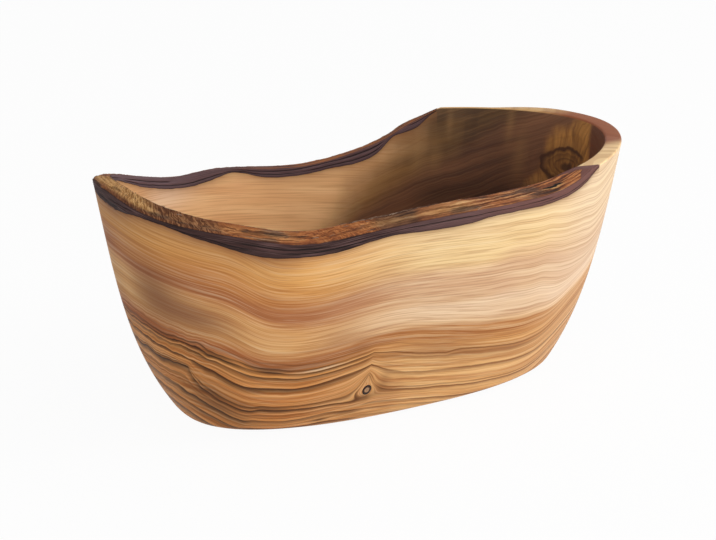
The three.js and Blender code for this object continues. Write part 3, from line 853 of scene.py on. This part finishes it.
pocket_profile = [(KNOT_TAPER + POCKET_SHARE, -KNOT_DEPTH - POCKET_GAP), (1 + POCKET_SHARE, 3 * MM)]
pocket = make_piece("pocket", *plug(pocket_profile), {}, carved_wood)
cut = carved_bowl.modifiers.new("knot_pocket", "BOOLEAN")
cut.object = pocket
cut.solver = "EXACT"
cut.operation = "DIFFERENCE"
drilled = bpy.data.meshes.new_from_object(carved_bowl.evaluated_get(bpy.context.evaluated_depsgraph_get()))
carved_bowl.modifiers.remove(cut)
carved_bowl.data = drilled
bpy.data.objects.remove(pocket)

for piece, cad_node, slot in (
        (carved_bowl, "bowl_body", "carved_wood"), (encased_knot, "pin_knot", "knot_wood")):
    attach(piece, "root")
    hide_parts(cad_node)


# Inner bark
# The dark purple-brown inner bark that stays on the natural rim, a band about 5 mm deep round both sides and
# the tip. It is grown onto the wood, cut flush with the walls, and split into thin layers along the log.
CRUST = 0.9 * MM
TRIMMED_EDGE = 1 * MM
CRUST_END = math.radians(4)
CRUST_TAPER = math.radians(4.5)
CRUST_POINT_SHARE = 0.25
SEAT_GAP = 0.06 * MM
STRIP_COLUMNS = 900
FACE_STEPS = 20
SPLIT_DEPTH = 0.4 * MM
SPLIT_WIDTH = 0.07
TROUGH_PLAY = 0.1 * MM
LAYER_RELIEF = 0.2 * MM
TOP_RELIEF = 0.15 * MM
SEAT_SHADE_REACH = 0.7 * MM
TIP_ROUND = 1 * MM
TIP_ROUND_START = 102 * MM
TIP_ROUND_FULL = 116 * MM
TIP_ROUND_WIDTH = 0.6
# Splits between the layers of bark, as (share of the climb, wander, seed)
SPLITS = [(0.34, 0.1, 15.3), (0.68, 0.08, 27.9)]


def wander(places, grain, seed):
    """Perlin noise, about -1 to 1, at places, with one grain size for each axis."""
    scaled = np.reshape(places, (-1, 3)) / grain + seed
    return np.array([noise.noise(spot) for spot in scaled]).reshape(np.shape(places)[:-1])


def strip_faces(sections):
    """Faces of a closed skin through sections of equal count, with both ends capped."""
    count, points = sections.shape[:2]
    index = np.arange(count * points).reshape(count, points)
    after = np.roll(index, -1, axis=1)
    quads = np.stack([index[:-1], after[:-1], after[1:], index[1:]], axis=-1).reshape(-1, 4)
    return quads.tolist() + [index[0].tolist(), index[-1][::-1].tolist()]


strip_angles = np.linspace(bark_angles[0] + SHOULDER, bark_angles[-1] - SHOULDER, STRIP_COLUMNS)
middle_line = rim_points(strip_angles, 0.5, 0.0)
run = np.concatenate([[0], np.cumsum(np.linalg.norm(np.diff(middle_line, axis=0), axis=1))])
from_end = np.minimum(strip_angles - strip_angles[0], strip_angles[-1] - strip_angles)


def worn_round(line, across):
    """How far the outer edge of the rim's top is worn down at the bark tip, along a line of the rim."""
    at_tip = smoothstep(-line[:, :1], TIP_ROUND_START, TIP_ROUND_FULL)
    return TIP_ROUND * at_tip * np.clip(1 - across / TIP_ROUND_WIDTH, 0, 1) ** 2


crust_share = smoothstep(from_end, 0.85 * CRUST_END, CRUST_END)


def crust_width(from_bark_end):
    """Share of the crust's full width, narrowing to a blunt point before each end of the bark."""
    full = smoothstep(from_bark_end, CRUST_END, CRUST_END + CRUST_TAPER)
    return CRUST_POINT_SHARE + (1 - CRUST_POINT_SHARE) * full


# Section of the band: up the outside, over the trimmed edge, through the crust's trough, and down the inside
face = np.linspace(0, 1, FACE_STEPS)
edge_turn = np.linspace(0, np.pi / 2, EASE_STEPS + 1)[1:]
edge_across = EDGE_EASE / WALL * (1 - np.cos(edge_turn))
edge_drop = EDGE_EASE * (1 - np.sin(edge_turn))
margin = TRIMMED_EDGE / WALL
half_across = np.concatenate([0 * face, edge_across, [margin * 0.85, margin, margin + 0.05]])
half_drop = np.concatenate([0 * face, edge_drop, [0, 0, 0]])
half_climb = np.concatenate([1 - face, 0 * edge_across, [0, 0, 0]])
half_trough = np.concatenate([0 * face, 0 * edge_across, [0, 0.35, 1]])
section_across = np.concatenate([half_across, [0.5], 1 - half_across[::-1], [0.75, 0.5, 0.25]])
section_drop = np.concatenate([half_drop, [0], half_drop[::-1], [0, 0, 0]])
section_climb = np.concatenate([half_climb, [0], half_climb[::-1], [1, 1, 1]])
section_trough = np.concatenate([half_trough, [1], half_trough[::-1], [0, 0, 0]])

strip = strip_angles[:, None]
narrowed = np.where(section_trough > 0, crust_width(from_end)[:, None], 1.0)
band_across = 0.5 + (section_across - 0.5) * narrowed
depth = bark_depth(strip, band_across) - SEAT_GAP
edge_top = np.where(section_climb > 0, EDGE_EASE, section_drop)
trough = section_trough * crust_share[:, None] * (CRUST + TROUGH_PLAY)
drop = edge_top + (depth - edge_top) * section_climb + trough
band_place = np.stack(np.broadcast_arrays(run[:, None], drop, band_across * WALL), axis=-1)
layers = wander(band_place, np.array([16, 0.8, 3]) * MM, 3.7)
layers = layers + 0.6 * wander(band_place, np.array([5, 0.4, 2]) * MM, 11.2)
on_face = np.isin(section_across, (0, 1)) & (section_climb > 0) & (section_climb < 1)
side_out = np.where(section_across < 0.5, 1, -1)
split = np.zeros(drop.shape)
for level, sway, seed in SPLITS:
    run_place = np.stack([run, 0 * run, 0 * run], axis=-1)
    line = level + sway * wander(run_place, np.array([22, 1, 1]) * MM, seed)
    open_share = smoothstep(wander(run_place, np.array([30, 1, 1]) * MM, seed + 40), -0.35, 0.05)
    groove = np.exp(-((section_climb - line[:, None]) / SPLIT_WIDTH) ** 2) * open_share[:, None]
    split = np.maximum(split, groove * on_face)
relief = (LAYER_RELIEF * layers * on_face - SPLIT_DEPTH * split) * side_out
drop = drop + TOP_RELIEF * layers * (section_climb == 0)
drop = drop + worn_round(middle_line, band_across) * (1 - section_climb)
sections = rim_points(strip, band_across, drop, relief)

inner_bark, tree = new_material("inner_bark")
band = painted(tree, "bark_place", "Vector")
thin_layers = streaks(tree, band, 18, 0.45, 3)
long_layers = streaks(tree, band, 45, 1.5, 6)
patches = streaks(tree, band, 25, 8, 8)
colour = ramp(tree, thin_layers, [(0.0, tone(30, 20, 19)), (0.5, tone(62, 42, 40)), (1.0, tone(110, 82, 80))])
colour = blend(tree, fade(tree, long_layers, 0.2, 0.9, 0.0, 0.5), colour, tone(88, 62, 60))
colour = blend(tree, fade(tree, patches, 0.3, 0.8, 0.0, 0.5), colour, tone(48, 29, 26))
x, y, z = node(tree, "SeparateXYZ", {0: node(tree, "TexCoord").outputs["Object"]}).outputs
# Partly painted light: the far side lighter and purple-grey, where the key falls on the bark's far face
far_side_lit = fade(tree, y, 10 * MM, 40 * MM, 0.0, 0.6)
colour = blend(tree, far_side_lit, colour, tone(112, 87, 90))
far_tip_lit = times(tree, fade(tree, x, -48 * MM, -84 * MM), fade(tree, y, 10 * MM, 40 * MM, 0.0, 0.6))
colour = blend(tree, far_tip_lit, colour, tone(118, 96, 101))
by_middle = times(tree, fade(tree, x, -48 * MM, 0.0), fade(tree, y, 10 * MM, -20 * MM, 0.0, 0.4))
colour = blend(tree, by_middle, colour, tone(126, 94, 92))
by_saw = times(tree, fade(tree, x, -10 * MM, 50 * MM), fade(tree, y, 10 * MM, -20 * MM, 0.0, 0.6))
colour = blend(tree, by_saw, colour, tone(122, 78, 68))
from_top = node(tree, "SeparateXYZ", {0: band}).outputs[1]
lapped = times(tree, fade(tree, from_top, 2.1 * MM, 1.2 * MM, 0.0, 0.8), fade(tree, thin_layers, 0.1, 0.5))
lapped = times(tree, lapped, fade(tree, y, 30 * MM, 50 * MM))
lapped = times(tree, lapped, fade(tree, x, -45 * MM, 5 * MM))
colour = blend(tree, lapped, colour, tone(166, 108, 66))
# Painted shade at the seat: the band darkens towards the wood
seat_shade = painted(tree, "seat_shade")
colour = blend(tree, times(tree, seat_shade, 0.75), colour, tone(30, 20, 18))
# Painted shade in the splits between the bark's layers
split_shade = painted(tree, "split")
colour = blend(tree, fade(tree, split_shade, 0.3, 0.9, 0.0, 0.85), colour, tone(20, 13, 12))
bump = node(tree, "Bump", {"Strength": 0.5, "Distance": 0.25 * MM, "Height": thin_layers})
connect(tree, tree.nodes["Principled BSDF"], {
    "Base Color": colour, "Roughness": fade(tree, long_layers, 0.0, 1.0, 0.7, 0.85),
    "Specular IOR Level": 0.2, "Normal": bump.outputs[0],
})

# Painted shade: how near each point of the band lies to its seat on the wood
seat_shade_share = np.exp(-(depth - drop) / SEAT_SHADE_REACH) * (section_climb > 0)
band_attributes = {
    "bark_place": band_place.reshape(-1, 3),
    "seat_shade": seat_shade_share.ravel(),
    "split": split.ravel(),
}
bark_band = make_piece(
    "bark_band", sections.reshape(-1, 3), strip_faces(sections), band_attributes, inner_bark)
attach(bark_band, "root")
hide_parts("inner_bark")


# Outer bark
# The rough crust of old outer bark along the top of the rim, brown and fibrous, with rusty patches and a pale
# one at the tip. It lies in a shallow trough of the inner bark, and its edges are ragged.
CRUST_COLUMNS = 1000
CRUST_STEPS = 22
CRACK_FROM_END = 20 * MM
CRACK_LENGTH = 13 * MM
CRACK_WIDTH = 1.3 * MM
CRACK_DEPTH = 0.8 * MM
PLATE_STEPS = 3
CRUST_LIFT = 0.04 * MM
CRUST_LEAST = 0.05 * MM
CRUST_LIP = 0.02 * MM
# Along the near rim by x in mm: shares of rusty bark and of bark hatched aslant, how far in mm the inner edge
# is built up, and shares of pale bark and of bark in long strands
RUST = [
    (-106, 0.4), (-99, 0.5), (-97, 1), (-90, 1), (-72, 0.9), (-66, 0.9), (-40, 0.95), (-36, 0.2), (-21, 0.15),
    (-18, 0.6), (-8, 0.6), (5, 0.6), (14, 0.6), (20, 0.75), (30, 0.6), (45, 0.75), (90, 0.9),
]
HATCH = [(-125, 0.8), (-116, 1), (-103, 1), (-97, 0.3), (-90, 0), (-68, 0), (-60, 0.5), (-40, 0.5), (-30, 0)]
BUILT_UP = [
    (-125, 0.5), (-118, 0.9), (-100, 0.9), (-60, 0.5), (-28, 0.3), (-21, 0.9), (5, 0.9), (15, 0.3), (35, 0),
]
PALE = [
    (-121, 0.1), (-100, 0.15), (-94, 0.3), (-74, 0.25), (-66, 0), (-46, 0), (-38, 0.4), (-26, 0.3),
    (-18, 0.2), (-10, 0.5), (2, 0.5), (12, 0),
]
LONG = [(-96, 0), (-88, 0.9), (-72, 0.9), (-64, 0.1), (-40, 0.1), (-30, 0.7), (0, 0.8), (30, 1)]

crust_angles = np.linspace(strip_angles[0] + CRUST_END, strip_angles[-1] - CRUST_END, CRUST_COLUMNS)
crust_line = rim_points(crust_angles, 0.5, 0.0)
crust_run = np.concatenate([[0], np.cumsum(np.linalg.norm(np.diff(crust_line, axis=0), axis=1))])
from_crust_end = np.minimum(crust_angles - crust_angles[0], crust_angles[-1] - crust_angles)
ends = crust_width(from_crust_end + CRUST_END)
width_share = np.linspace(0, 1, CRUST_STEPS)
edge_place = np.stack(np.broadcast_arrays(crust_run, 0.0, 0.0), axis=-1)


def ragged(seed):
    """A torn line along the crust, about -1 to 1."""
    torn = 0.5 * wander(edge_place, np.array([5, 1, 1]) * MM, seed)
    return torn + 0.4 * wander(edge_place, np.array([1.6, 1, 1]) * MM, seed + 3.8)


on_near_rim = smoothstep(-crust_line[:, 1:2], 0, 20 * MM)
built_up = np.interp(crust_line[:, :1], *(np.array(BUILT_UP).T * MM)) * on_near_rim
outer_margin = np.maximum(0.2 + 0.4 * ragged(5.3), 0.06) * MM / WALL
inner_margin = (0.12 + 0.2 * ragged(2.9)) * MM / WALL
outer_edge = 0.5 - (0.5 - outer_margin) * ends
inner_edge = 0.5 + (0.5 - inner_margin) * ends
top_across = outer_edge[:, None] + (inner_edge - outer_edge)[:, None] * width_share
top_place = np.stack(np.broadcast_arrays(crust_run[:, None], top_across * WALL, 0.0), axis=-1)
lumps = wander(top_place, np.array([9, 2.4, 1]) * MM, 21.5)
ridges = 1 - 2 * np.abs(wander(top_place, np.array([6, 0.9, 1]) * MM, 33.1))
grit = wander(top_place, np.array([1.4, 0.6, 1]) * MM, 41.9)
plates = np.round(PLATE_STEPS * wander(top_place, np.array([4.5, 1.7, 1]) * MM, 51.3)) / PLATE_STEPS
crown = 1 - np.abs(2 * width_share - 1) ** 6
height = (0.36 + 0.28 * lumps + 0.16 * ridges + 0.14 * grit + 0.4 * plates) * MM
height = height + built_up * smoothstep(width_share, 0.45, 0.9)
crack_run = (crust_run[-1] - crust_run[:, None] - CRACK_FROM_END) / (CRACK_LENGTH / 2)
crack_line = 0.46 + 0.06 * wander(edge_place, np.array([2.5, 1, 1]) * MM, 13.3)[:, None]
crack = np.exp(-crack_run ** 4) * np.exp(-((top_across - crack_line) * WALL / (0.5 * CRACK_WIDTH)) ** 2)
top_drop = -CRUST_LIFT - np.maximum(height, CRUST_LEAST) * crown * ends[:, None]
top_drop = top_drop + CRACK_DEPTH * crack
seat_out = np.maximum(outer_edge + 0.02, margin + 0.06)
seat_in = np.minimum(inner_edge - 0.02, 1 - margin - 0.06)
under_across = np.stack([seat_in, seat_in, (seat_in + seat_out) / 2, seat_out, seat_out], axis=1)
under_drop = np.array([-CRUST_LIP, CRUST, CRUST, CRUST, -CRUST_LIP]) * np.ones_like(under_across)
crust_across = np.concatenate([top_across, under_across], axis=1)
crust_drop = np.concatenate([top_drop, under_drop], axis=1) + worn_round(crust_line, crust_across)
crust_sections = rim_points(crust_angles[:, None], crust_across, crust_drop)
crust_place = np.stack(np.broadcast_arrays(crust_run[:, None], crust_across * WALL, crust_drop), axis=-1)

outer_bark, tree = new_material("outer_bark")
band = painted(tree, "bark_place", "Vector")
rust, pale, hatch, raised, long, crack_shade = (
    painted(tree, name) for name in ("rust", "pale", "hatch", "raised", "long", "crack"))
curl = node(tree, "TexNoise", {"Vector": band, "Scale": 420.0, "Detail": 2.0}).outputs["Color"]
curl = node(tree, "VectorMath", {0: curl, 1: (0.5, 0.5, 0.5)}, operation="SUBTRACT").outputs[0]
curl = node(tree, "VectorMath", {0: curl, "Scale": 2.0 * MM}, operation="SCALE").outputs[0]
curled = node(tree, "VectorMath", {0: band, 1: curl}, operation="ADD").outputs[0]
turned = {"Vector": curled, "Angle": math.radians(38)}
slanted = node(tree, "VectorRotate", turned, rotation_type="Z_AXIS").outputs[0]
flakes = streaks(tree, curled, 7, 0.9, 3)
strands = streaks(tree, band, 24, 0.8, 4)
hatching = fade(tree, streaks(tree, slanted, 4.5, 0.5, 3), 0.0, 1.0, 0.15, 0.8)
grain = node(tree, "Mix", {0: long, 2: flakes, 3: strands}).outputs[0]
grain = node(tree, "Mix", {0: hatch, 2: grain, 3: hatching}).outputs[0]
clumps = streaks(tree, band, 20, 3.2, 6)
chips = node(tree, "TexVoronoi", {"Vector": curled, "Scale": 620.0}, feature="F1").outputs["Distance"]
brown = ramp(tree, grain, [
    (0.0, tone(50, 34, 28)), (0.3, tone(70, 49, 40)), (0.62, tone(98, 71, 57)), (0.85, tone(124, 92, 73)),
    (1.0, tone(148, 114, 91)),
])
rusty = ramp(tree, grain, [
    (0.0, tone(84, 46, 28)), (0.3, tone(134, 75, 42)), (0.65, tone(180, 109, 60)), (0.9, tone(204, 141, 86)),
    (1.0, tone(220, 168, 114)),
])
yellow = ramp(tree, grain, [(0.0, tone(92, 58, 34)), (0.4, tone(190, 136, 80)), (1.0, tone(244, 200, 138))])
rust_share = times(tree, rust, fade(tree, clumps, 0.0, 0.4))
colour = blend(tree, rust_share, brown, rusty)
# Painted shade: the crust darker in its low places
colour = blend(tree, fade(tree, raised, 0.35, 0.0, 0.0, 0.3), colour, tone(50, 31, 24))
colour = blend(tree, fade(tree, chips, 0.25, 0.6, 0.0, 0.15), colour, tone(40, 24, 18))
colour = blend(tree, times(tree, pale, fade(tree, clumps, 0.0, 0.3, 0.5, 1.0)), colour, yellow)
# Painted shade: the crack near black inside
colour = blend(tree, fade(tree, crack_shade, 0.25, 0.7), colour, tone(16, 10, 8))
bump = node(tree, "Bump", {"Strength": 0.8, "Distance": 0.4 * MM, "Height": grain})
connect(tree, tree.nodes["Principled BSDF"], {
    "Base Color": colour, "Roughness": fade(tree, rust_share, 0.0, 1.0, 0.85, 0.65),
    "Specular IOR Level": 0.15, "Normal": bump.outputs[0],
})

under_zero = np.zeros_like(under_across)
near_side = smoothstep(-crust_sections[..., 1], -20 * MM, 20 * MM)


def along_near_rim(stations, far_value):
    """A share that follows (x in mm, share) stations on the near rim, and is even on the far one."""
    here = np.interp(crust_sections[..., 0], *(np.array(stations).T * [[MM], [1]]))
    return far_value + (here - far_value) * near_side


tip_side = smoothstep(-crust_sections[..., 0], 115 * MM, 120 * MM) * smoothstep(crust_across, 0.1, 0.35)
# Painted shade inside the crack, carried as the crack attribute
crack_shade_share = np.concatenate([crack, under_zero], axis=1)
pale_lip = (top_across - crack_line + 0.13) * WALL / (0.5 * MM)
beside_crack = np.exp(-(crack_run - 0.3) ** 4) * np.exp(-pale_lip ** 2)
pale_share = np.maximum(tip_side, np.concatenate([beside_crack, under_zero], axis=1))
pale_share = np.maximum(pale_share, along_near_rim(PALE, 0) * np.exp(-((crust_across - 0.45) / 0.25) ** 2))
frayed = np.exp(-((crust_sections[..., 0] + 30 * MM) / (19 * MM)) ** 4) * near_side
frayed = frayed * smoothstep(crust_across, 0.82, 0.95)
fray_share = (0.006 * near_side + frayed) * np.concatenate([np.ones_like(top_across), under_zero], axis=1)
raised_share = np.clip(-top_drop / (0.9 * MM), 0, 1)
crust_along = np.gradient(crust_line, axis=0)
crust_along /= np.linalg.norm(crust_along, axis=1, keepdims=True)
crust_along = np.broadcast_to(crust_along[:, None, :], crust_sections.shape)
crust_attributes = {
    "bark_place": crust_place.reshape(-1, 3),
    "rust": along_near_rim(RUST, 0.75).ravel(),
    "hatch": along_near_rim(HATCH, 0.2).ravel(),
    "long": along_near_rim(LONG, 0.6).ravel(),
    "raised": np.concatenate([raised_share, under_zero], axis=1).ravel(),
    "pale": pale_share.ravel(),
    "crack": crack_shade_share.ravel(),
    "fray": fray_share.ravel(),
    "along": crust_along.reshape(-1, 3),
}
bark_crust = make_piece(
    "bark_crust", crust_sections.reshape(-1, 3), strip_faces(crust_sections), crust_attributes, outer_bark)
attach(bark_crust, "root")
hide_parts("outer_bark")


# Bark fibres
# Short dry strands that fray from the outer bark, thickest along the near inner edge where the bark was torn.
# They lie along the rim and lift a little, grey where they have weathered and brown where they are fresh.
fibre_bark, tree = new_material("fibre_bark")
shade = painted(tree, "shade")
colour = ramp(tree, shade, [
    (0.0, tone(66, 43, 32)), (0.5, tone(108, 76, 56)), (0.8, tone(136, 108, 86)), (1.0, tone(164, 140, 118)),
])
connect(tree, tree.nodes["Principled BSDF"], {"Base Color": colour, "Roughness": 0.8})

fray, given, put = node_group(
    "bark_fray", "GeometryNode",
    [("Bark", "Geometry"), ("Strands per m2", "Float"), ("Length", "Float"), ("Thickness", "Float"),
     ("Seed", "Int"), ("Material", "Material")],
    [("Strands", "Geometry")])


def geometry(kind, inputs=(), **settings):
    return node(fray, kind, inputs, family="GeometryNode", **settings).outputs


def function(kind, inputs=(), **settings):
    return node(fray, kind, inputs, family="FunctionNode", **settings).outputs


thickly = geometry("InputNamedAttribute", {"Name": "fray"}, data_type="FLOAT")["Attribute"]
density = times(fray, given["Strands per m2"], thickly)
spread_over = {"Mesh": given["Bark"], "Density": density, "Seed": given["Seed"]}
roots = geometry("DistributePointsOnFaces", spread_over)
along = geometry("InputNamedAttribute", {"Name": "along"}, data_type="FLOAT_VECTOR")["Attribute"]
lie = function("AlignRotationToVector", {"Vector": along}, axis="X")[0]
limits = {0: (-0.4, -0.2, -0.45), 1: (0.4, 0.08, 0.45), "Seed": given["Seed"]}
sway = function("RandomValue", limits, data_type="FLOAT_VECTOR")[0]
turned = function("EulerToRotation", {0: sway})[0]
lie = function("RotateRotation", {0: lie, 1: turned}, rotation_space="LOCAL")[0]
size = function("RandomValue", {2: 0.4, 3: 1.3, "Seed": given["Seed"]}, data_type="FLOAT")[1]
half_length = times(fray, given["Length"], 0.5)
start = node(fray, "CombineXYZ", {0: times(fray, half_length, -1.0)}).outputs[0]
middle = node(fray, "CombineXYZ", {2: times(fray, half_length, 0.25)}).outputs[0]
end = node(fray, "CombineXYZ", {0: half_length}).outputs[0]
arc = geometry("CurveQuadraticBezier", {"Resolution": 6, "Start": start, "Middle": middle, "End": end})[0]
t = geometry("SplineParameter")["Factor"]
swell = times(fray, times(fray, t, minus(fray, 1.0, t)), 3.2)
tapered = geometry("SetCurveRadius", {"Curve": arc, "Radius": plus(fray, swell, 0.2)})[0]
strand_radius = times(fray, given["Thickness"], 0.5)
outline = geometry("CurvePrimitiveCircle", {"Resolution": 5, "Radius": strand_radius})[0]
strand = geometry("CurveToMesh", {"Curve": tapered, "Profile Curve": outline, "Fill Caps": True})[0]
planted = {"Points": roots["Points"], "Instance": strand, "Rotation": lie, "Scale": size}
strands = geometry("InstanceOnPoints", planted)[0]
weather = function("RandomValue", {"Seed": plus(fray, given["Seed"], 7.0)}, data_type="FLOAT")[1]
shades = {"Geometry": strands, "Name": "shade", "Value": weather}
shaded = geometry("StoreNamedAttribute", shades, data_type="FLOAT", domain="INSTANCE")[0]
real = geometry("RealizeInstances", {"Geometry": shaded})[0]
smooth = geometry("SetShadeSmooth", {"Geometry": real})[0]
dressed = geometry("SetMaterial", {"Geometry": smooth, "Material": given["Material"]})[0]
fray.links.new(dressed, put["Strands"])

bark_fibres = bpy.data.objects.new("bark_fibres", bark_crust.data.copy())
bpy.context.scene.collection.objects.link(bark_fibres)
torn = bark_fibres.modifiers.new("fray", "NODES")
torn.node_group = fray
settings = {
    "Strands per m2": 4e6, "Length": 2.6 * MM, "Thickness": 0.2 * MM, "Seed": 4, "Material": fibre_bark,
}
for item in fray.interface.items_tree:
    if item.in_out == "INPUT" and item.name in settings:
        torn[item.identifier] = settings[item.name]
loose = bpy.data.meshes.new_from_object(bark_fibres.evaluated_get(bpy.context.evaluated_depsgraph_get()))
bark_fibres.modifiers.remove(torn)
bark_fibres.data = loose
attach(bark_fibres, "root")


# Studio
# A pale floor that shows as white to the camera and still takes the bowl's soft shadow, a low key light from
# the right that leaves the sawn end's hollow in shade, and a broad white fill.
FLOOR_REACH = 4.0
FLOOR_GLOW = 0.95
FILL = 0.4
floor_mesh = bpy.data.meshes.new("floor")
corners = [(x * FLOOR_REACH, y * FLOOR_REACH, 0) for x, y in ((-1, -1), (1, -1), (1, 1), (-1, 1))]
floor_mesh.from_pydata(corners, [], [(0, 1, 2, 3)])
floor = bpy.data.objects.new("floor", floor_mesh)
bpy.context.scene.collection.objects.link(floor)


def seen_share(tree):
    """1 for the rays that show the background: straight to the camera, or in a gloss or a glass."""
    path = node(tree, "LightPath").outputs
    seen = calc(tree, "MAXIMUM", path["Is Camera Ray"], path["Is Glossy Ray"])
    return calc(tree, "MAXIMUM", seen, path["Is Transmission Ray"])


floor_white, tree = new_material("floor_white")
tree.nodes.clear()
matte = node(tree, "BsdfDiffuse", {"Color": (0.9, 0.9, 0.9, 1)})
glow = node(tree, "Emission", {"Color": (1, 1, 1, 1), "Strength": 1.0})
glow_share = times(tree, seen_share(tree), FLOOR_GLOW)
mixed = node(tree, "MixShader", {0: glow_share, 1: matte.outputs[0], 2: glow.outputs[0]})
node(tree, "OutputMaterial", {"Surface": mixed.outputs[0]})
floor_mesh.materials.append(floor_white)

world = bpy.data.worlds.new("studio")
world.use_nodes = True
tree = world.node_tree
tree.nodes.clear()
fill = node(tree, "Background", {"Color": (1, 1, 1, 1), "Strength": FILL})
white = node(tree, "Background", {"Color": (1, 1, 1, 1), "Strength": 1.0})
mixed = node(tree, "MixShader", {0: seen_share(tree), 1: fill.outputs[0], 2: white.outputs[0]})
node(tree, "OutputWorld", {"Surface": mixed.outputs[0]})
bpy.context.scene.world = world


def soft_box(name, direction, distance, size, power):
    """A square lamp that faces the bowl."""
    lamp = bpy.data.lights.new(name, "AREA")
    lamp.size = size
    lamp.energy = power
    box = bpy.data.objects.new(name, lamp)
    way = Vector(direction).normalized()
    box.location = way * distance + Vector((0, 0, SAWN_RIM_HEIGHT / 2))
    box.rotation_mode = "QUATERNION"
    box.rotation_quaternion = way.to_track_quat("Z", "Y")
    bpy.context.scene.collection.objects.link(box)


soft_box("key", direction=(0.86, -0.42, 0.36), distance=1.4, size=0.5, power=9.5)
soft_box("front", direction=(-0.3, -0.94, 0.12), distance=1.6, size=0.9, power=11.5)
soft_box("top", direction=(0.1, -0.35, 1.0), distance=1.5, size=0.8, power=3)

AZIMUTH = math.radians(-28.4315)
ELEVATION = math.radians(20.0894)
DISTANCE = 1.00722
TARGET = Vector((-4.941, 2.675, 52.936)) * MM
camera = bpy.data.objects.new("camera", bpy.data.cameras.new("camera"))
camera.data.lens = 112.012
camera.data.sensor_fit = "HORIZONTAL"
camera.data.sensor_width = 36
level_share = math.cos(ELEVATION)
back = Vector((math.sin(AZIMUTH) * level_share, -math.cos(AZIMUTH) * level_share, math.sin(ELEVATION)))
camera.location = TARGET + back * DISTANCE
camera.rotation_mode = "QUATERNION"
camera.rotation_quaternion = back.to_track_quat("Z", "Y")
bpy.context.scene.collection.objects.link(camera)
bpy.context.scene.camera = camera
bpy.context.scene.view_settings.view_transform = "Standard"
